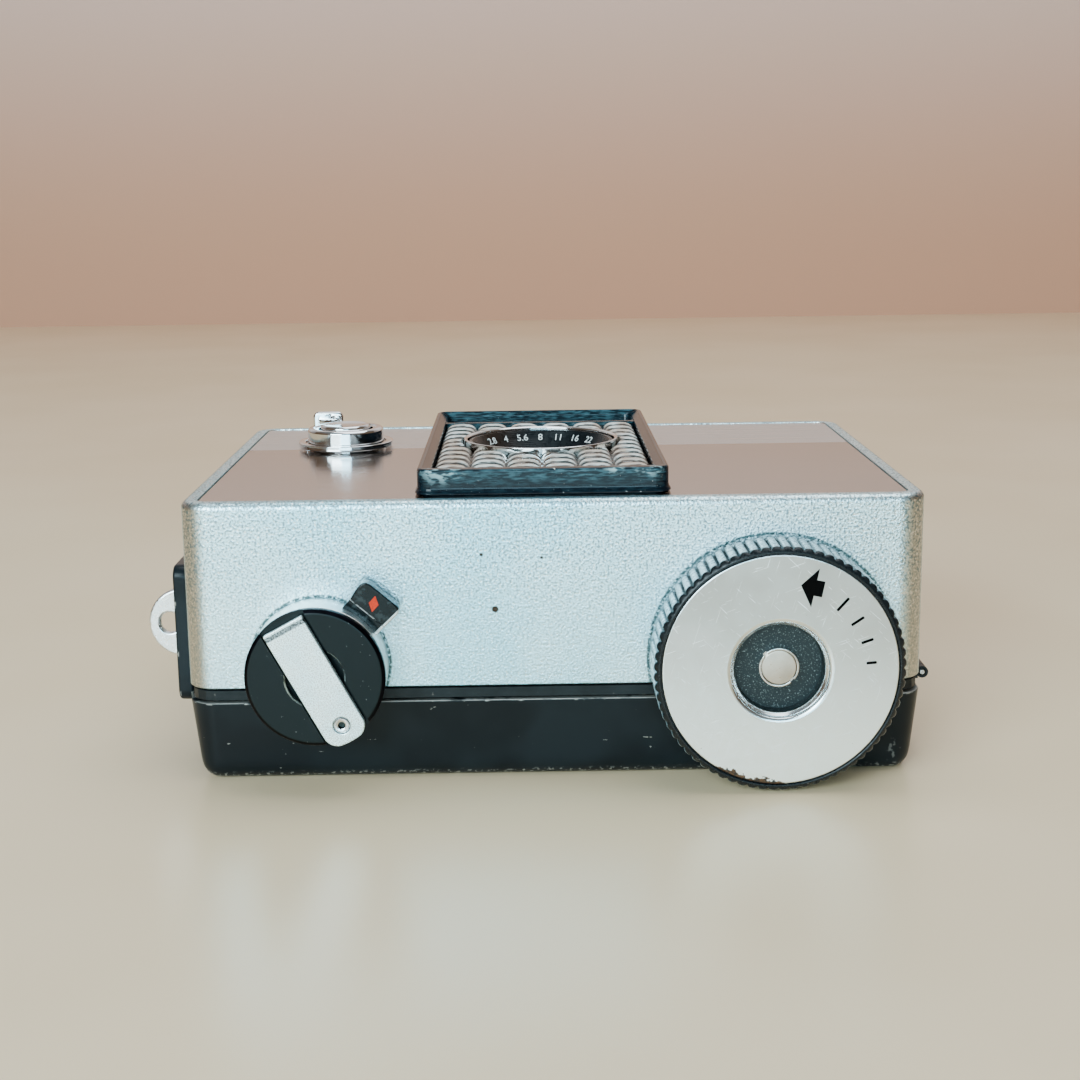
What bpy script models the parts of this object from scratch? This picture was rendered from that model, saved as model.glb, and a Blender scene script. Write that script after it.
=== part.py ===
"""Compact half-frame camera with a clockwork film advance, lying on its back door with the lens up.

X runs to the right along the base, Y from the base plate (with the knobs) to the camera's top, Z from the back
door to the lens. The origin is the centre of the back door's outer face. Sizes are in millimetres and become
metres where the meshes are made.
"""

import math

import bpy
import bmesh
from mathutils import Matrix, Vector

MM = 0.001

# Driving dimensions of the body
BODY_X = 84.0
BODY_Y = 61.0
DOOR_TOP = 9.5
BAND_LOW = 9.8
BAND_HIGH = 10.9
SHELL_LOW = 11.2
FRONT = 32.6
CORNER_R = 3.3
SHELL_WALL = 1.2
RIM = 1.8
GAP = 0.3
HALF_X = BODY_X / 2
HALF_Y = BODY_Y / 2
DECK_LOW = FRONT - 2.2
DECK_HIGH = FRONT - 1.1
CHASSIS_TOP = 28.3
CHASSIS_INSET = 1.6

# Places of the main groups
LENS = (-1.1, -0.5)
WIND = (24.7, 14.2)
REWIND = (-26.6, 14.0)
BUTTON = (-27.2, 11.0)
SPROCKET = (14.0, 10.54)
HINGE = (42.8, 10.7)
LUG = (-18.5, 16.2)
LUG_ROOT_Z = (14.2, 18.2)
SOCKET = (-20.5, 21.8)
SOCKET_TUBE_R = 1.9
COUNTER_WINDOW = (24.7, 19.8)
FRAME_X = (-15.7, 13.5)
FRAME_Y = (-27.7, 23.7)
FRAME_WALL = 1.75
PANEL_X = (FRAME_X[0] + FRAME_WALL, FRAME_X[1] - FRAME_WALL)
PANEL_Y = (FRAME_Y[0] + FRAME_WALL, 15.7)
WELL_X = (-13.4, 11.2)
WELL_Y = (16.2, 22.3)
SKIRT_X = (-14.8, 12.6)
SKIRT_Y = (-26.8, 22.8)
FILM_Z = 6.0
FAR = 10.0

# Wind knob and rewind group
KNOB_R = 14.0
KNOB_FACE = -36.8
KNOB_BACK = -31.0
KNOB_TEETH = 72
KNURL_DEPTH = 0.4
REWIND_R = 7.8
REWIND_FACE = -36.4
CRANK_DIRECTION = math.atan2(-0.88, 0.474)
CRANK_HINGE = -6.7
CRANK_AXIS_Y = -36.5
PEG_AT = 6.0
TAB_ANGLE = math.radians(49)

# Door hinge: outer and inner radius of a knuckle, and the knuckles' places along Y
KNUCKLE_R = (0.7, 0.42)
CHASSIS_KNUCKLES = ((-26, -18), (-4.7, 4.7), (18, 26))
DOOR_KNUCKLES = ((-17.7, -5), (5, 17.7))

# Places along Y inside the body: the film's room, the inner block's end walls and the ratchet
FILM_ROOM = (-24.6, 24.6)
BASE_WALL = (-27.5, -24)
TOP_WALL = (24, 27.5)
RATCHET_Y = (-28.9, -28.3)

# Gear train: module and tooth counts of spool, idler and sprocket gears
MODULE = 0.5
SPOOL_TEETH = 24
IDLER_TEETH = 12
SPROCKET_TEETH = 16
GEAR_Y = (-27.9, -26.9)

# Shutter
BLADE_PIVOTS = (-1.2, 8.4)
VANE_OPEN = math.radians(24)


# ---------------------------------------------------------------- tools

def clear_scene():
    for item in list(bpy.data.objects):
        bpy.data.objects.remove(item, do_unlink=True)


def finish(name, colour, roughness, metallic):
    material = bpy.data.materials.new(name)
    material.use_nodes = True
    shader = material.node_tree.nodes["Principled BSDF"]
    shader.inputs["Base Color"].default_value = (*colour, 1.0)
    shader.inputs["Roughness"].default_value = roughness
    shader.inputs["Metallic"].default_value = metallic
    material.diffuse_color = (*colour, 1.0)
    return material


def place(u, v, height, axis):
    """A point of an outline (u, v) at a height along the axis; (u, v) are the other two axes in X, Y, Z order."""
    if axis == "X":
        return (height, u, v)
    if axis == "Y":
        return (u, height, v)
    return (u, v, height)


def add_object(name, bm, material, origin=(0, 0, 0), cutter=False):
    """The mesh, drawn in millimetres at its place, becomes an object with its origin on the given point."""
    bmesh.ops.remove_doubles(bm, verts=bm.verts, dist=1e-5)
    bmesh.ops.recalc_face_normals(bm, faces=bm.faces)
    bm.transform(Matrix.Translation(-Vector(origin)))
    bm.transform(Matrix.Scale(MM, 4))
    mesh = bpy.data.meshes.new(name)
    bm.to_mesh(mesh)
    bm.free()
    mesh.shade_smooth()
    mesh.set_sharp_from_angle(angle=math.radians(35))
    item = bpy.data.objects.new(name, mesh)
    item.location = Vector(origin) * MM
    bpy.context.scene.collection.objects.link(item)
    if material:
        mesh.materials.append(material)
    if cutter:
        item.hide_render = True
        item.display_type = "WIRE"
    return item


def stack(rings):
    """Rings of points, all with the same count, joined into one closed skin with a cap at each end."""
    bm = bmesh.new()
    loops = [[bm.verts.new(point) for point in ring] for ring in rings]
    count = len(loops[0])
    for lower, upper in zip(loops, loops[1:]):
        for i in range(count):
            j = (i + 1) % count
            bm.faces.new((lower[i], lower[j], upper[j], upper[i]))
    bm.faces.new(loops[0][::-1])
    bm.faces.new(loops[-1])
    return bm


def prism(outline, low, high, axis="Z"):
    return stack([[place(u, v, height, axis) for u, v in outline] for height in (low, high)])


def box(low, high):
    outline = [(low[0], low[1]), (high[0], low[1]), (high[0], high[1]), (low[0], high[1])]
    return prism(outline, low[2], high[2])


def plate(outer, holes, low, high, axis="Z"):
    """A flat plate with holes through it."""
    bm = bmesh.new()
    edges = []
    for loop in (outer, *holes):
        verts = [bm.verts.new(place(u, v, low, axis)) for u, v in loop]
        edges += [bm.edges.new((verts[i - 1], verts[i])) for i in range(len(verts))]
    bmesh.ops.triangle_fill(bm, edges=edges, use_beauty=True)
    grown = bmesh.ops.extrude_face_region(bm, geom=list(bm.faces), use_keep_orig=True)
    verts = [part for part in grown["geom"] if isinstance(part, bmesh.types.BMVert)]
    bmesh.ops.translate(bm, verts=verts, vec=place(0, 0, high - low, axis))
    return bm


def turned(profile, centre, axis="Z", steps=32, start=0.0):
    """A closed profile of (radius, height) points turned round an axis through the centre (u, v)."""
    bm = bmesh.new()
    rings = []
    for radius, height in profile:
        if radius < 1e-6:
            rings.append([bm.verts.new(place(*centre, height, axis))])
            continue
        ring = []
        for i in range(steps):
            angle = start + 2 * math.pi * i / steps
            u = centre[0] + radius * math.cos(angle)
            v = centre[1] + radius * math.sin(angle)
            ring.append(bm.verts.new(place(u, v, height, axis)))
        rings.append(ring)
    for a, b in zip(rings, rings[1:] + rings[:1]):
        if len(a) == 1 and len(b) == 1:
            continue
        for i in range(steps):
            j = (i + 1) % steps
            if len(a) == 1:
                bm.faces.new((a[0], b[i], b[j]))
            elif len(b) == 1:
                bm.faces.new((a[i], a[j], b[0]))
            else:
                bm.faces.new((a[i], a[j], b[j], b[i]))
    return bm


def disc(centre, radius, low, high, axis="Z", steps=24, start=0.0):
    return turned([(0, low), (radius, low), (radius, high), (0, high)], centre, axis, steps, start)


def tube(centre, outer, inner, low, high, axis="Z", steps=32):
    return turned([(inner, low), (outer, low), (outer, high), (inner, high)], centre, axis, steps)


def merged(*meshes):
    """Several closed skins in one mesh, for a cutter or for a Boolean union's second side."""
    whole = bmesh.new()
    for bm in meshes:
        carrier = bpy.data.meshes.new("carrier")
        bm.to_mesh(carrier)
        bm.free()
        whole.from_mesh(carrier)
        bpy.data.meshes.remove(carrier)
    return whole


def boolean(item, bm, operation):
    """Adds one Boolean to an object; the tool's mesh is drawn in world millimetres."""
    tool = add_object(f"{item.name}_{operation.lower()}_{len(item.modifiers)}", bm, None, cutter=True)
    modifier = item.modifiers.new(operation, "BOOLEAN")
    modifier.operation = operation
    modifier.solver = "EXACT"
    modifier.object = tool
    return item


def cut(item, *meshes):
    for bm in meshes:
        boolean(item, bm, "DIFFERENCE")
    return item


def join(item, *meshes):
    for bm in meshes:
        boolean(item, bm, "UNION")
    return item


def rounded(x, y, radius, inset=0.0, steps=4):
    """A rounded rectangle between the limits x and y, pulled in by inset."""
    radius = max(radius - inset, 0.05)
    points = []
    corners = ((x[1], y[1], 0), (x[0], y[1], 90), (x[0], y[0], 180), (x[1], y[0], 270))
    for corner_x, corner_y, start in corners:
        centre_x = corner_x - math.copysign(inset + radius, corner_x - (x[0] + x[1]) / 2)
        centre_y = corner_y - math.copysign(inset + radius, corner_y - (y[0] + y[1]) / 2)
        for i in range(steps + 1):
            angle = math.radians(start + 90 * i / steps)
            points.append((centre_x + radius * math.cos(angle), centre_y + radius * math.sin(angle)))
    return points


def body_outline(inset, steps=4):
    return rounded((-HALF_X, HALF_X), (-HALF_Y, HALF_Y), CORNER_R, inset, steps)


def body_stack(levels):
    """The body's outline at several heights, as (height, inset) pairs."""
    return stack([[(x, y, z) for x, y in body_outline(inset)] for z, inset in levels])


def circle(centre, radius, steps=28, start=0.0):
    points = []
    for i in range(steps):
        angle = start + 2 * math.pi * i / steps
        points.append((centre[0] + radius * math.cos(angle), centre[1] + radius * math.sin(angle)))
    return points


def arch(centre, radius, bottom, steps=20):
    """A half circle over a straight-sided mouth that opens downwards."""
    points = []
    for i in range(steps + 1):
        angle = math.pi * i / steps
        points.append((centre[0] + radius * math.cos(angle), centre[1] + radius * math.sin(angle)))
    return points + [(centre[0] - radius, bottom), (centre[0] + radius, bottom)]


def turned_outline(points, centre, angle):
    """Outline points given about the centre, turned by the angle and moved to it."""
    c, s = math.cos(angle), math.sin(angle)
    return [(centre[0] + c * u - s * v, centre[1] + s * u + c * v) for u, v in points]


def toothed(teeth, root, tip, root_share, tip_share, centre, offset=0.0):
    """A ring of trapezoid teeth; the shares are a tooth's widths at root and tip, of one pitch."""
    points = []
    pitch = 2 * math.pi / teeth
    for i in range(teeth):
        middle = offset + i * pitch
        for radius, share in ((root, -root_share), (tip, -tip_share), (tip, tip_share), (root, root_share)):
            angle = middle + share * pitch / 2
            points.append((centre[0] + radius * math.cos(angle), centre[1] + radius * math.sin(angle)))
    return points


def at_axis(centre, axis, height=0.0):
    return place(*centre, height, axis)


# ---------------------------------------------------------------- materials

def make_materials():
    return {
        "satin_silver": finish("satin_silver", (0.62, 0.62, 0.62), 0.38, 0.9),
        "brushed_plate": finish("brushed_plate", (0.60, 0.53, 0.50), 0.32, 0.95),
        "black_paint": finish("black_paint", (0.018, 0.018, 0.020), 0.38, 0.1),
        "gloss_black": finish("gloss_black", (0.010, 0.010, 0.012), 0.12, 0.0),
        "knob_black": finish("knob_black", (0.015, 0.016, 0.018), 0.25, 0.0),
        "knob_silver": finish("knob_silver", (0.72, 0.67, 0.62), 0.42, 0.85),
        "chrome": finish("chrome", (0.80, 0.80, 0.80), 0.10, 1.0),
        "clear_lenslets": finish("clear_lenslets", (0.75, 0.77, 0.76), 0.08, 0.0),
        "selenium": finish("selenium", (0.16, 0.13, 0.10), 0.45, 0.2),
        "lens_glass": finish("lens_glass", (0.10, 0.12, 0.16), 0.03, 0.0),
        "chassis_black": finish("chassis_black", (0.025, 0.025, 0.027), 0.6, 0.1),
        "steel": finish("steel", (0.50, 0.50, 0.50), 0.35, 1.0),
        "brass": finish("brass", (0.70, 0.52, 0.25), 0.32, 1.0),
        "black_steel": finish("black_steel", (0.03, 0.03, 0.03), 0.4, 0.7),
        "foam": finish("foam", (0.02, 0.02, 0.02), 0.95, 0.0),
        "dial_white": finish("dial_white", (0.75, 0.74, 0.70), 0.5, 0.0),
    }


# ---------------------------------------------------------------- body and covers

def make_front_shell(mat):
    shell = add_object(
        "front_shell",
        body_stack([(SHELL_LOW, 0), (FRONT - 0.8, 0), (FRONT - 0.23, 0.23), (FRONT, 0.8)]),
        mat["satin_silver"],
    )
    hollow = body_stack([(SHELL_LOW - 1, SHELL_WALL), (DECK_LOW, SHELL_WALL)])
    recess = body_stack([(DECK_HIGH, RIM), (FRONT + 1, RIM)])
    low, high = (SKIRT_X[0] - GAP, SKIRT_Y[0] - GAP), (SKIRT_X[1] + GAP, SKIRT_Y[1] + GAP)
    lens_opening = box((*low, DECK_LOW - 1), (*high, FRONT))
    button_hole = disc(BUTTON, 4.3, DECK_LOW - 1, FRONT)
    arbor_hole = disc(WIND, 2.1, -HALF_Y - 1, -HALF_Y + 2, "Y", 24)
    rewind_hole = disc(REWIND, 2.0, -HALF_Y - 1, -HALF_Y + 2, "Y", 24)
    counter_hole = disc(COUNTER_WINDOW, 2.5, HALF_Y - 2, HALF_Y + 1, "Y", 24)
    socket_hole = disc(SOCKET, SOCKET_TUBE_R + GAP, HALF_X - 2, HALF_X + 1, "X", 24)
    root = (LUG_ROOT_Z[0] - GAP, LUG_ROOT_Z[1] + GAP)
    lug_slot = box((-HALF_X - 1, LUG[0] - 0.9, root[0]), (-HALF_X + 2, LUG[0] + 0.9, root[1]))
    return cut(
        shell, hollow, recess, lens_opening,
        merged(button_hole, arbor_hole, rewind_hole, counter_hole, socket_hole, lug_slot),
    )


def make_front_plate(mat):
    outline = body_outline(RIM + 0.15)
    under = 0.4
    x, y = (FRAME_X[0] + under, FRAME_X[1] - under), (FRAME_Y[0] + under, FRAME_Y[1] - under)
    frame_hole = rounded(x, y, 1.5)
    button_hole = circle(BUTTON, 4.4)
    bm = plate(outline, (frame_hole, button_hole), DECK_HIGH + 0.2, FRONT - 0.1)
    return add_object("front_plate", bm, mat["brushed_plate"])


def make_lens_frame(mat):
    """The raised frame round the cell window and the finder's well, with a skirt that passes through the deck."""
    rim_low, rim_high = 32.75, 35.6
    bar_top = 34.9
    panel = rounded(PANEL_X, PANEL_Y, 0.6, steps=2)
    well = rounded(WELL_X, WELL_Y, 0.5, steps=2)
    outer = rounded(FRAME_X, FRAME_Y, 2.0)
    skirt = rounded(SKIRT_X, SKIRT_Y, 1.0)
    frame = add_object("lens_frame", plate(outer, (panel, well), rim_low, rim_high), mat["gloss_black"])
    walls = plate(skirt, (panel, well), 31.4, 33.0)
    tunnel_hole = rounded((-9.2, 7.0), (16.9, 22.3), 0.3, steps=2)
    floor = plate(skirt, (circle(LENS, 10.6), tunnel_hole), 30.7, 31.6)
    join(frame, walls, floor)
    middle = (PANEL_Y[1] + WELL_Y[0]) / 2
    return cut(frame, box((WELL_X[0], middle - 0.6, bar_top), (WELL_X[1], middle + 0.6, rim_high + 1)))


def make_cell_parts(mat):
    for name, gap, hole, heights, look in (
        ("cell_window", 0.45, 10.25, (33.2, 34.9), "clear_lenslets"),
        ("selenium_cell", 0.55, 10.6, (31.9, 32.6), "selenium"),
    ):
        x, y = (PANEL_X[0] + gap, PANEL_X[1] - gap), (PANEL_Y[0] + gap, PANEL_Y[1] - gap + 0.05)
        bm = plate(rounded(x, y, 0.6, steps=2), (circle(LENS, hole, 48),), *heights)
        add_object(name, bm, mat[look])


def knuckle(low, high):
    return tube(HINGE, *KNUCKLE_R, low, high, "Y", 16)


def hinge_leaf(points, low, high):
    return prism(points, low, high, "Y")


def make_chassis(mat):
    """The inner block: its outer band shows between shell and door, and every room is cut out of it."""
    levels = [(BAND_LOW, GAP), (BAND_HIGH, GAP), (BAND_HIGH, CHASSIS_INSET), (CHASSIS_TOP, CHASSIS_INSET)]
    chassis = add_object("chassis", body_stack(levels), mat["chassis_black"])
    join(chassis, box((-12.4, -19.5, 7.7), (8.6, 15.8, 12)))
    cassette = prism(arch(REWIND, 12.9, 7.1), -25, 24.4, "Y")
    take_up = prism(arch(WIND, 11.4, 7.2), *FILM_ROOM, "Y")
    sprocket_room = disc(SPROCKET, 5.4, *FILM_ROOM, "Y", 24)
    cone = stack([
        [(LENS[0] + sx * hx, LENS[1] + sy * hy, z) for sx, sy in ((-1, -1), (1, -1), (1, 1), (-1, 1))]
        for z, hx, hy in ((7.0, 9.4, 12.4), (21.0, 5.5, 6.5))
    ])
    lens_room = disc(LENS, 12.0, 19.8, 30, steps=40)
    finder_slot = box((-9.3, 16.9, 5), (7.1, 23.7, 30))
    gear_room = box((7.5, -29.0, 7), (33.6, -26.4, 24.6))
    meter_pocket = box((-9.0, -27.4, 12.5), (5.0, -13.8, 30))
    counter_room = disc(WIND, 8.6, 26.8, 29.0, "Y", 32)
    cut(chassis, cassette, take_up, sprocket_room, cone, lens_room, finder_slot, gear_room, meter_pocket,
        counter_room)
    bores = merged(
        disc(WIND, 2.7, *BASE_WALL, "Y", 20), disc(REWIND, 2.1, -30, BASE_WALL[1], "Y", 20),
        disc(SPROCKET, 1.5, *BASE_WALL, "Y", 16), disc(idler_centre(), 1.1, BASE_WALL[0], -25.2, "Y", 16),
        disc(pawl_centre(), 1.1, BASE_WALL[0], -25.2, "Y", 16), disc(WIND, 2.4, *TOP_WALL, "Y", 20),
        disc(SPROCKET, 1.5, TOP_WALL[0], 26.4, "Y", 16),
        *(disc(at, 1.0, 8, 15, steps=12) for at in screw_places()),
    )
    cut(chassis, bores)
    for low, high in CHASSIS_KNUCKLES:
        leaf = [(41.2, 9.9), (42.3, 10.0), (42.3, 10.8), (41.2, 10.8)]
        join(chassis, hinge_leaf(leaf, low, high), knuckle(low, high))
    return chassis


def screw_places():
    return ((-36.0, -27.0), (37.5, -27.0), (-36.0, 26.8), (37.8, 26.8))


def make_screws(mat):
    for number, at in enumerate(screw_places(), 1):
        profile = [(0, 8.9), (1.5, 8.6), (1.6, 9.4), (0.7, 9.5), (0.7, 14.0), (0, 14.4)]
        screw = add_object(f"shell_screw_{number}", turned(profile, at, steps=16), mat["steel"])
        cut(screw, box((at[0] - 2, at[1] - 0.2, 8), (at[0] + 2, at[1] + 0.2, 9.0)))


def make_back_door(mat):
    door = add_object(
        "back_door",
        body_stack([(0, 2.9), (0.25, 1.9), (0.8, 1.3), (2.3, 0.75), (DOOR_TOP, 0)]),
        mat["black_paint"], at_axis(HINGE, "Y"),
    )
    cut(door, body_stack([(1.4, 2.3), (DOOR_TOP + 1, 1.3)]))
    cut(door, prism(rounded((-10.6, 8.4), (16.0, 24.6), 1.0, steps=2), -1, 3))
    for low, high in DOOR_KNUCKLES:
        leaf = [(41.0, 8.0), (42.3, 8.2), (42.9, 9.4), (42.9, 10.3), (42.15, 10.4), (42.1, 9.4), (41.0, 9.2)]
        join(door, hinge_leaf(leaf, low, high), knuckle(low, high))
    add_object("light_seal", box((39.0, -26, 8.3), (40.2, 26, 9.4)), mat["foam"], at_axis(HINGE, "Y"))
    return door


def make_door_catch(mat):
    """A tongue that stands up outside the door's left wall, behind the latch plate, with a hook at its top."""
    tongue = [(-21.0, 8.5), (-17.4, 8.5), (-17.4, 13.2), (-23.2, 13.2), (-23.2, 11.9), (-21.0, 11.9)]
    bm = prism(tongue, -43.2, -42.3, "X")
    return add_object("door_catch", bm, mat["steel"], at_axis(HINGE, "Y"))


def make_latch(mat):
    plate_outline = rounded((-25.0, -12.0), (8.1, 24.3), 1.5)
    latch = add_object("latch_plate", prism(plate_outline, -44.0, -42.25, "X"), mat["black_paint"])
    pocket = box((-43.5, -24.0, 9.0), (-42, -13.4, 13.8))
    mouth = box((-43.5, -21.4, 7), (-42, -13.4, 9.5))
    lug_slot = box((-45, LUG[0] - 0.9, 13.6), (-41, LUG[0] + 3.9, 18.8))
    cut(latch, pocket, mouth, lug_slot)
    nib = box((-43.7, -24.3, 10.4), (-42.4, -23.5, 11.6))
    join(latch, nib)


def make_strap_lug(mat):
    """A half disc with a slot, on a root that passes through the latch plate into the shell."""
    flat, radius, inner_end, steps = -44.15, 4.15, -40.9, 16
    arc = []
    for i in range(steps + 1):
        angle = math.radians(90 + 180 * i / steps)
        arc.append((flat + radius * math.cos(angle), LUG[1] + radius * math.sin(angle)))
    low, high = LUG_ROOT_Z
    outline = arc + [(flat, low), (inner_end, low), (inner_end, high), (flat, high)]
    slot = rounded((-47.0, -44.7), (LUG[1] - 1.25, LUG[1] + 1.25), 1.1, steps=3)
    bm = plate(outline, (slot,), LUG[0] - 0.6, LUG[0] + 0.6, "Y")
    add_object("strap_lug", bm, mat["chrome"])


def make_hinge_pin(mat):
    add_object("hinge_pin", disc(HINGE, 0.3, -26, 26, "Y", 12), mat["steel"])


def make_flash_socket(mat):
    """A socket for the flash lead: a tube through the side wall with a thin flange outside and a pin inside."""
    back, floor, under_flange, face = 40.65, 41.4, 42.25, 42.7
    flange_r, bore_r, pin_r = 2.6, 1.6, 0.5
    profile = [(0, back), (SOCKET_TUBE_R, back), (SOCKET_TUBE_R, under_flange), (flange_r, under_flange),
               (flange_r, face), (bore_r, face), (bore_r, floor), (0, floor)]
    socket = add_object("flash_socket", turned(profile, SOCKET, "X", 20), mat["black_steel"])
    join(socket, disc(SOCKET, pin_r, floor - 0.4, face - 0.3, "X", 12))


# ---------------------------------------------------------------- film path

def make_film_gate(mat):
    """The half-frame picture window, 18 mm by 24 mm, between the rails that guide the film."""
    x = (-12.2, 8.7)
    picture = (18, 24)
    outline = rounded(x, (-19.3, 16.5), 0.6, steps=2)
    hole = rounded((LENS[0] - picture[0] / 2, LENS[0] + picture[0] / 2),
                   (LENS[1] - picture[1] / 2, LENS[1] + picture[1] / 2), 0.4, steps=2)
    gate = add_object("film_gate", plate(outline, (hole,), 6.3, 7.4), mat["black_steel"])
    rails = (-18.9, -14.4, 12.6, 15.2)
    join(gate, merged(*(box((x[0], y, FILM_Z), (x[1], y + 1.0, 6.8)) for y in rails)))


def make_pressure_plate(mat):
    plate_bm = prism(rounded((-13.5, 10.5), (-18.3, 16.2), 2.0, steps=3), 4.2, 5.5)
    plate_item = add_object("pressure_plate", plate_bm, mat["black_steel"])
    cut(plate_item, merged(*(disc((x, y), 1.4, 3, 6.5, steps=16) for x in (-9.0, 6.0) for y in (-13, 11))))
    bowed = [(-10, 2.0), (-7, 1.75), (-1.5, 3.5), (4, 1.75), (7, 2.0)]
    thick = 0.3
    leaf = [(x, z + thick / 2) for x, z in bowed] + [(x, z - thick / 2) for x, z in reversed(bowed)]
    add_object("pressure_spring", prism(leaf, -6, 4, "Y"), mat["steel"])


def make_finder(mat):
    outer = rounded((-8.9, 6.7), (17.3, 23.3), 0.4, steps=2)
    inner = rounded((-8.2, 6.0), (18.0, 22.6), 0.3, steps=2)
    add_object("finder_tunnel", plate(outer, (inner,), 2.8, 30.3), mat["chassis_black"])
    profile = stack([
        [(x, y, z) for x, y in rounded((-10.0, 7.8), (16.5, 24.0), 0.9, inset, 3)]
        for z, inset in ((0.5, 0.4), (0.9, 0.0), (2.5, 0.0))
    ])
    eyepiece = add_object("finder_eyepiece", profile, mat["lens_glass"])
    cut(eyepiece, box((-6.5, 18.2, -1), (4.3, 22.3, 1.1)))
    window = rounded((-8.9, 6.7), (17.2, 22.0), 0.3, steps=2)
    add_object("finder_window", prism(window, 31.9, 32.7), mat["lens_glass"])


def make_take_up(mat):
    profile = [(1.8, -26.7), (2.2, -26.7), (2.2, -24.2), (6.0, -24.2), (6.0, 24.0), (2.0, 24.0), (2.0, 26.2),
               (0, 26.2), (0, 23.0), (5.2, 23.0), (5.2, -23.3), (1.8, -23.3)]
    spool = add_object("take_up_spool", turned(profile, WIND, "Y", 28), mat["knob_black"], at_axis(WIND, "Y"))
    cut(spool, box((WIND[0] + 4, -17, WIND[1] - 1), (WIND[0] + 8, 15, WIND[1] + 1)))
    turns, steps, half_thick = 4, 64, 0.15
    first, growth = 2.1, 2.6
    inner, outer = [], []
    for i in range(steps + 1):
        angle = 2 * math.pi * turns * i / steps
        radius = first + growth * i / steps
        for side, points in ((-half_thick, inner), (half_thick, outer)):
            r = radius + side
            points.append((WIND[0] + r * math.cos(angle), WIND[1] + r * math.sin(angle)))
    bm = prism(outer + inner[::-1], -20, 20, "Y")
    add_object("mainspring", bm, mat["steel"], at_axis(WIND, "Y"))


def idler_centre():
    """The point that is one gear distance from both the sprocket's axis and the spool's."""
    near = MODULE * (SPROCKET_TEETH + IDLER_TEETH) / 2
    far = MODULE * (SPOOL_TEETH + IDLER_TEETH) / 2
    dx, dz = WIND[0] - SPROCKET[0], WIND[1] - SPROCKET[1]
    span = math.hypot(dx, dz)
    along = (near ** 2 - far ** 2 + span ** 2) / (2 * span)
    up = math.sqrt(near ** 2 - along ** 2)
    return (SPROCKET[0] + (along * dx - up * dz) / span, SPROCKET[1] + (along * dz + up * dx) / span)


def mesh_phase(centre, offset, teeth, next_centre, next_teeth):
    """Where the next gear's first tooth stands, so that its gap faces this gear's tooth."""
    angle = math.atan2(next_centre[1] - centre[1], next_centre[0] - centre[0])
    pitch = 2 * math.pi / teeth
    share = ((angle - offset) / pitch) % 1.0
    return angle + math.pi + (share + 0.5) * 2 * math.pi / next_teeth


def gear(name, teeth, centre, offset, bore, material, extras=()):
    radius = MODULE * teeth / 2
    outline = toothed(teeth, radius - 0.6, radius + 0.4, 0.60, 0.24, centre, offset)
    holes = (circle(centre, bore, 20),) if bore else ()
    item = add_object(name, plate(outline, holes, *GEAR_Y, "Y"), material, at_axis(centre, "Y"))
    return join(item, *extras)


def make_gears(mat):
    idler = idler_centre()
    angle = math.atan2(idler[1] - WIND[1], idler[0] - WIND[0])
    idler_offset = mesh_phase(WIND, angle, SPOOL_TEETH, idler, IDLER_TEETH)
    sprocket_offset = mesh_phase(idler, idler_offset, IDLER_TEETH, SPROCKET, SPROCKET_TEETH)
    gear("spool_gear", SPOOL_TEETH, WIND, angle, 2.5, mat["brass"])
    stub = disc(idler, 0.8, -27.2, -25.6, "Y", 16)
    gear("idler_gear", IDLER_TEETH, idler, idler_offset, 0, mat["brass"], (stub,))
    gear("sprocket_gear", SPROCKET_TEETH, SPROCKET, sprocket_offset, 1.4, mat["brass"])


def make_sprocket(mat):
    """Two toothed ends that engage the film's perforations, joined by a waist."""
    rows = (-16.0, 14.0)
    profile = [(0, -28.2), (1.1, -28.2), (1.1, -24.2), (4.54, -24.2), (4.54, -13.5), (3.4, -12.5), (3.4, 10.5),
               (4.54, 11.5), (4.54, 24.2), (1.1, 24.2), (1.1, 26.1), (0, 26.1)]
    bm = turned(profile, SPROCKET, "Y", 24)
    sprocket = add_object("film_sprocket", bm, mat["steel"], at_axis(SPROCKET, "Y"))
    teeth = []
    for y in rows:
        for i in range(6):
            tooth = []
            for radius, half in ((4.0, 0.55), (5.05, 0.3)):
                ring = [(radius, -half), (radius, half)]
                tooth.append(turned_outline(ring, SPROCKET, 2 * math.pi * (i + 0.5) / 6))
            outline = [tooth[0][0], tooth[1][0], tooth[1][1], tooth[0][1]]
            teeth.append(prism(outline, y - 0.8, y + 0.8, "Y"))
    join(sprocket, merged(*teeth))


def make_counter(mat):
    profile = [(0, 26.5), (1.6, 26.5), (1.6, 27.2), (7.6, 27.2), (7.6, 28.0), (0, 28.0)]
    add_object("counter_dial", turned(profile, WIND, "Y", 48), mat["dial_white"], at_axis(WIND, "Y"))
    add_object("counter_window", disc(COUNTER_WINDOW, 2.2, 28.9, 30.3, "Y", 24), mat["lens_glass"])


# ---------------------------------------------------------------- wind knob and its ratchet

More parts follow.
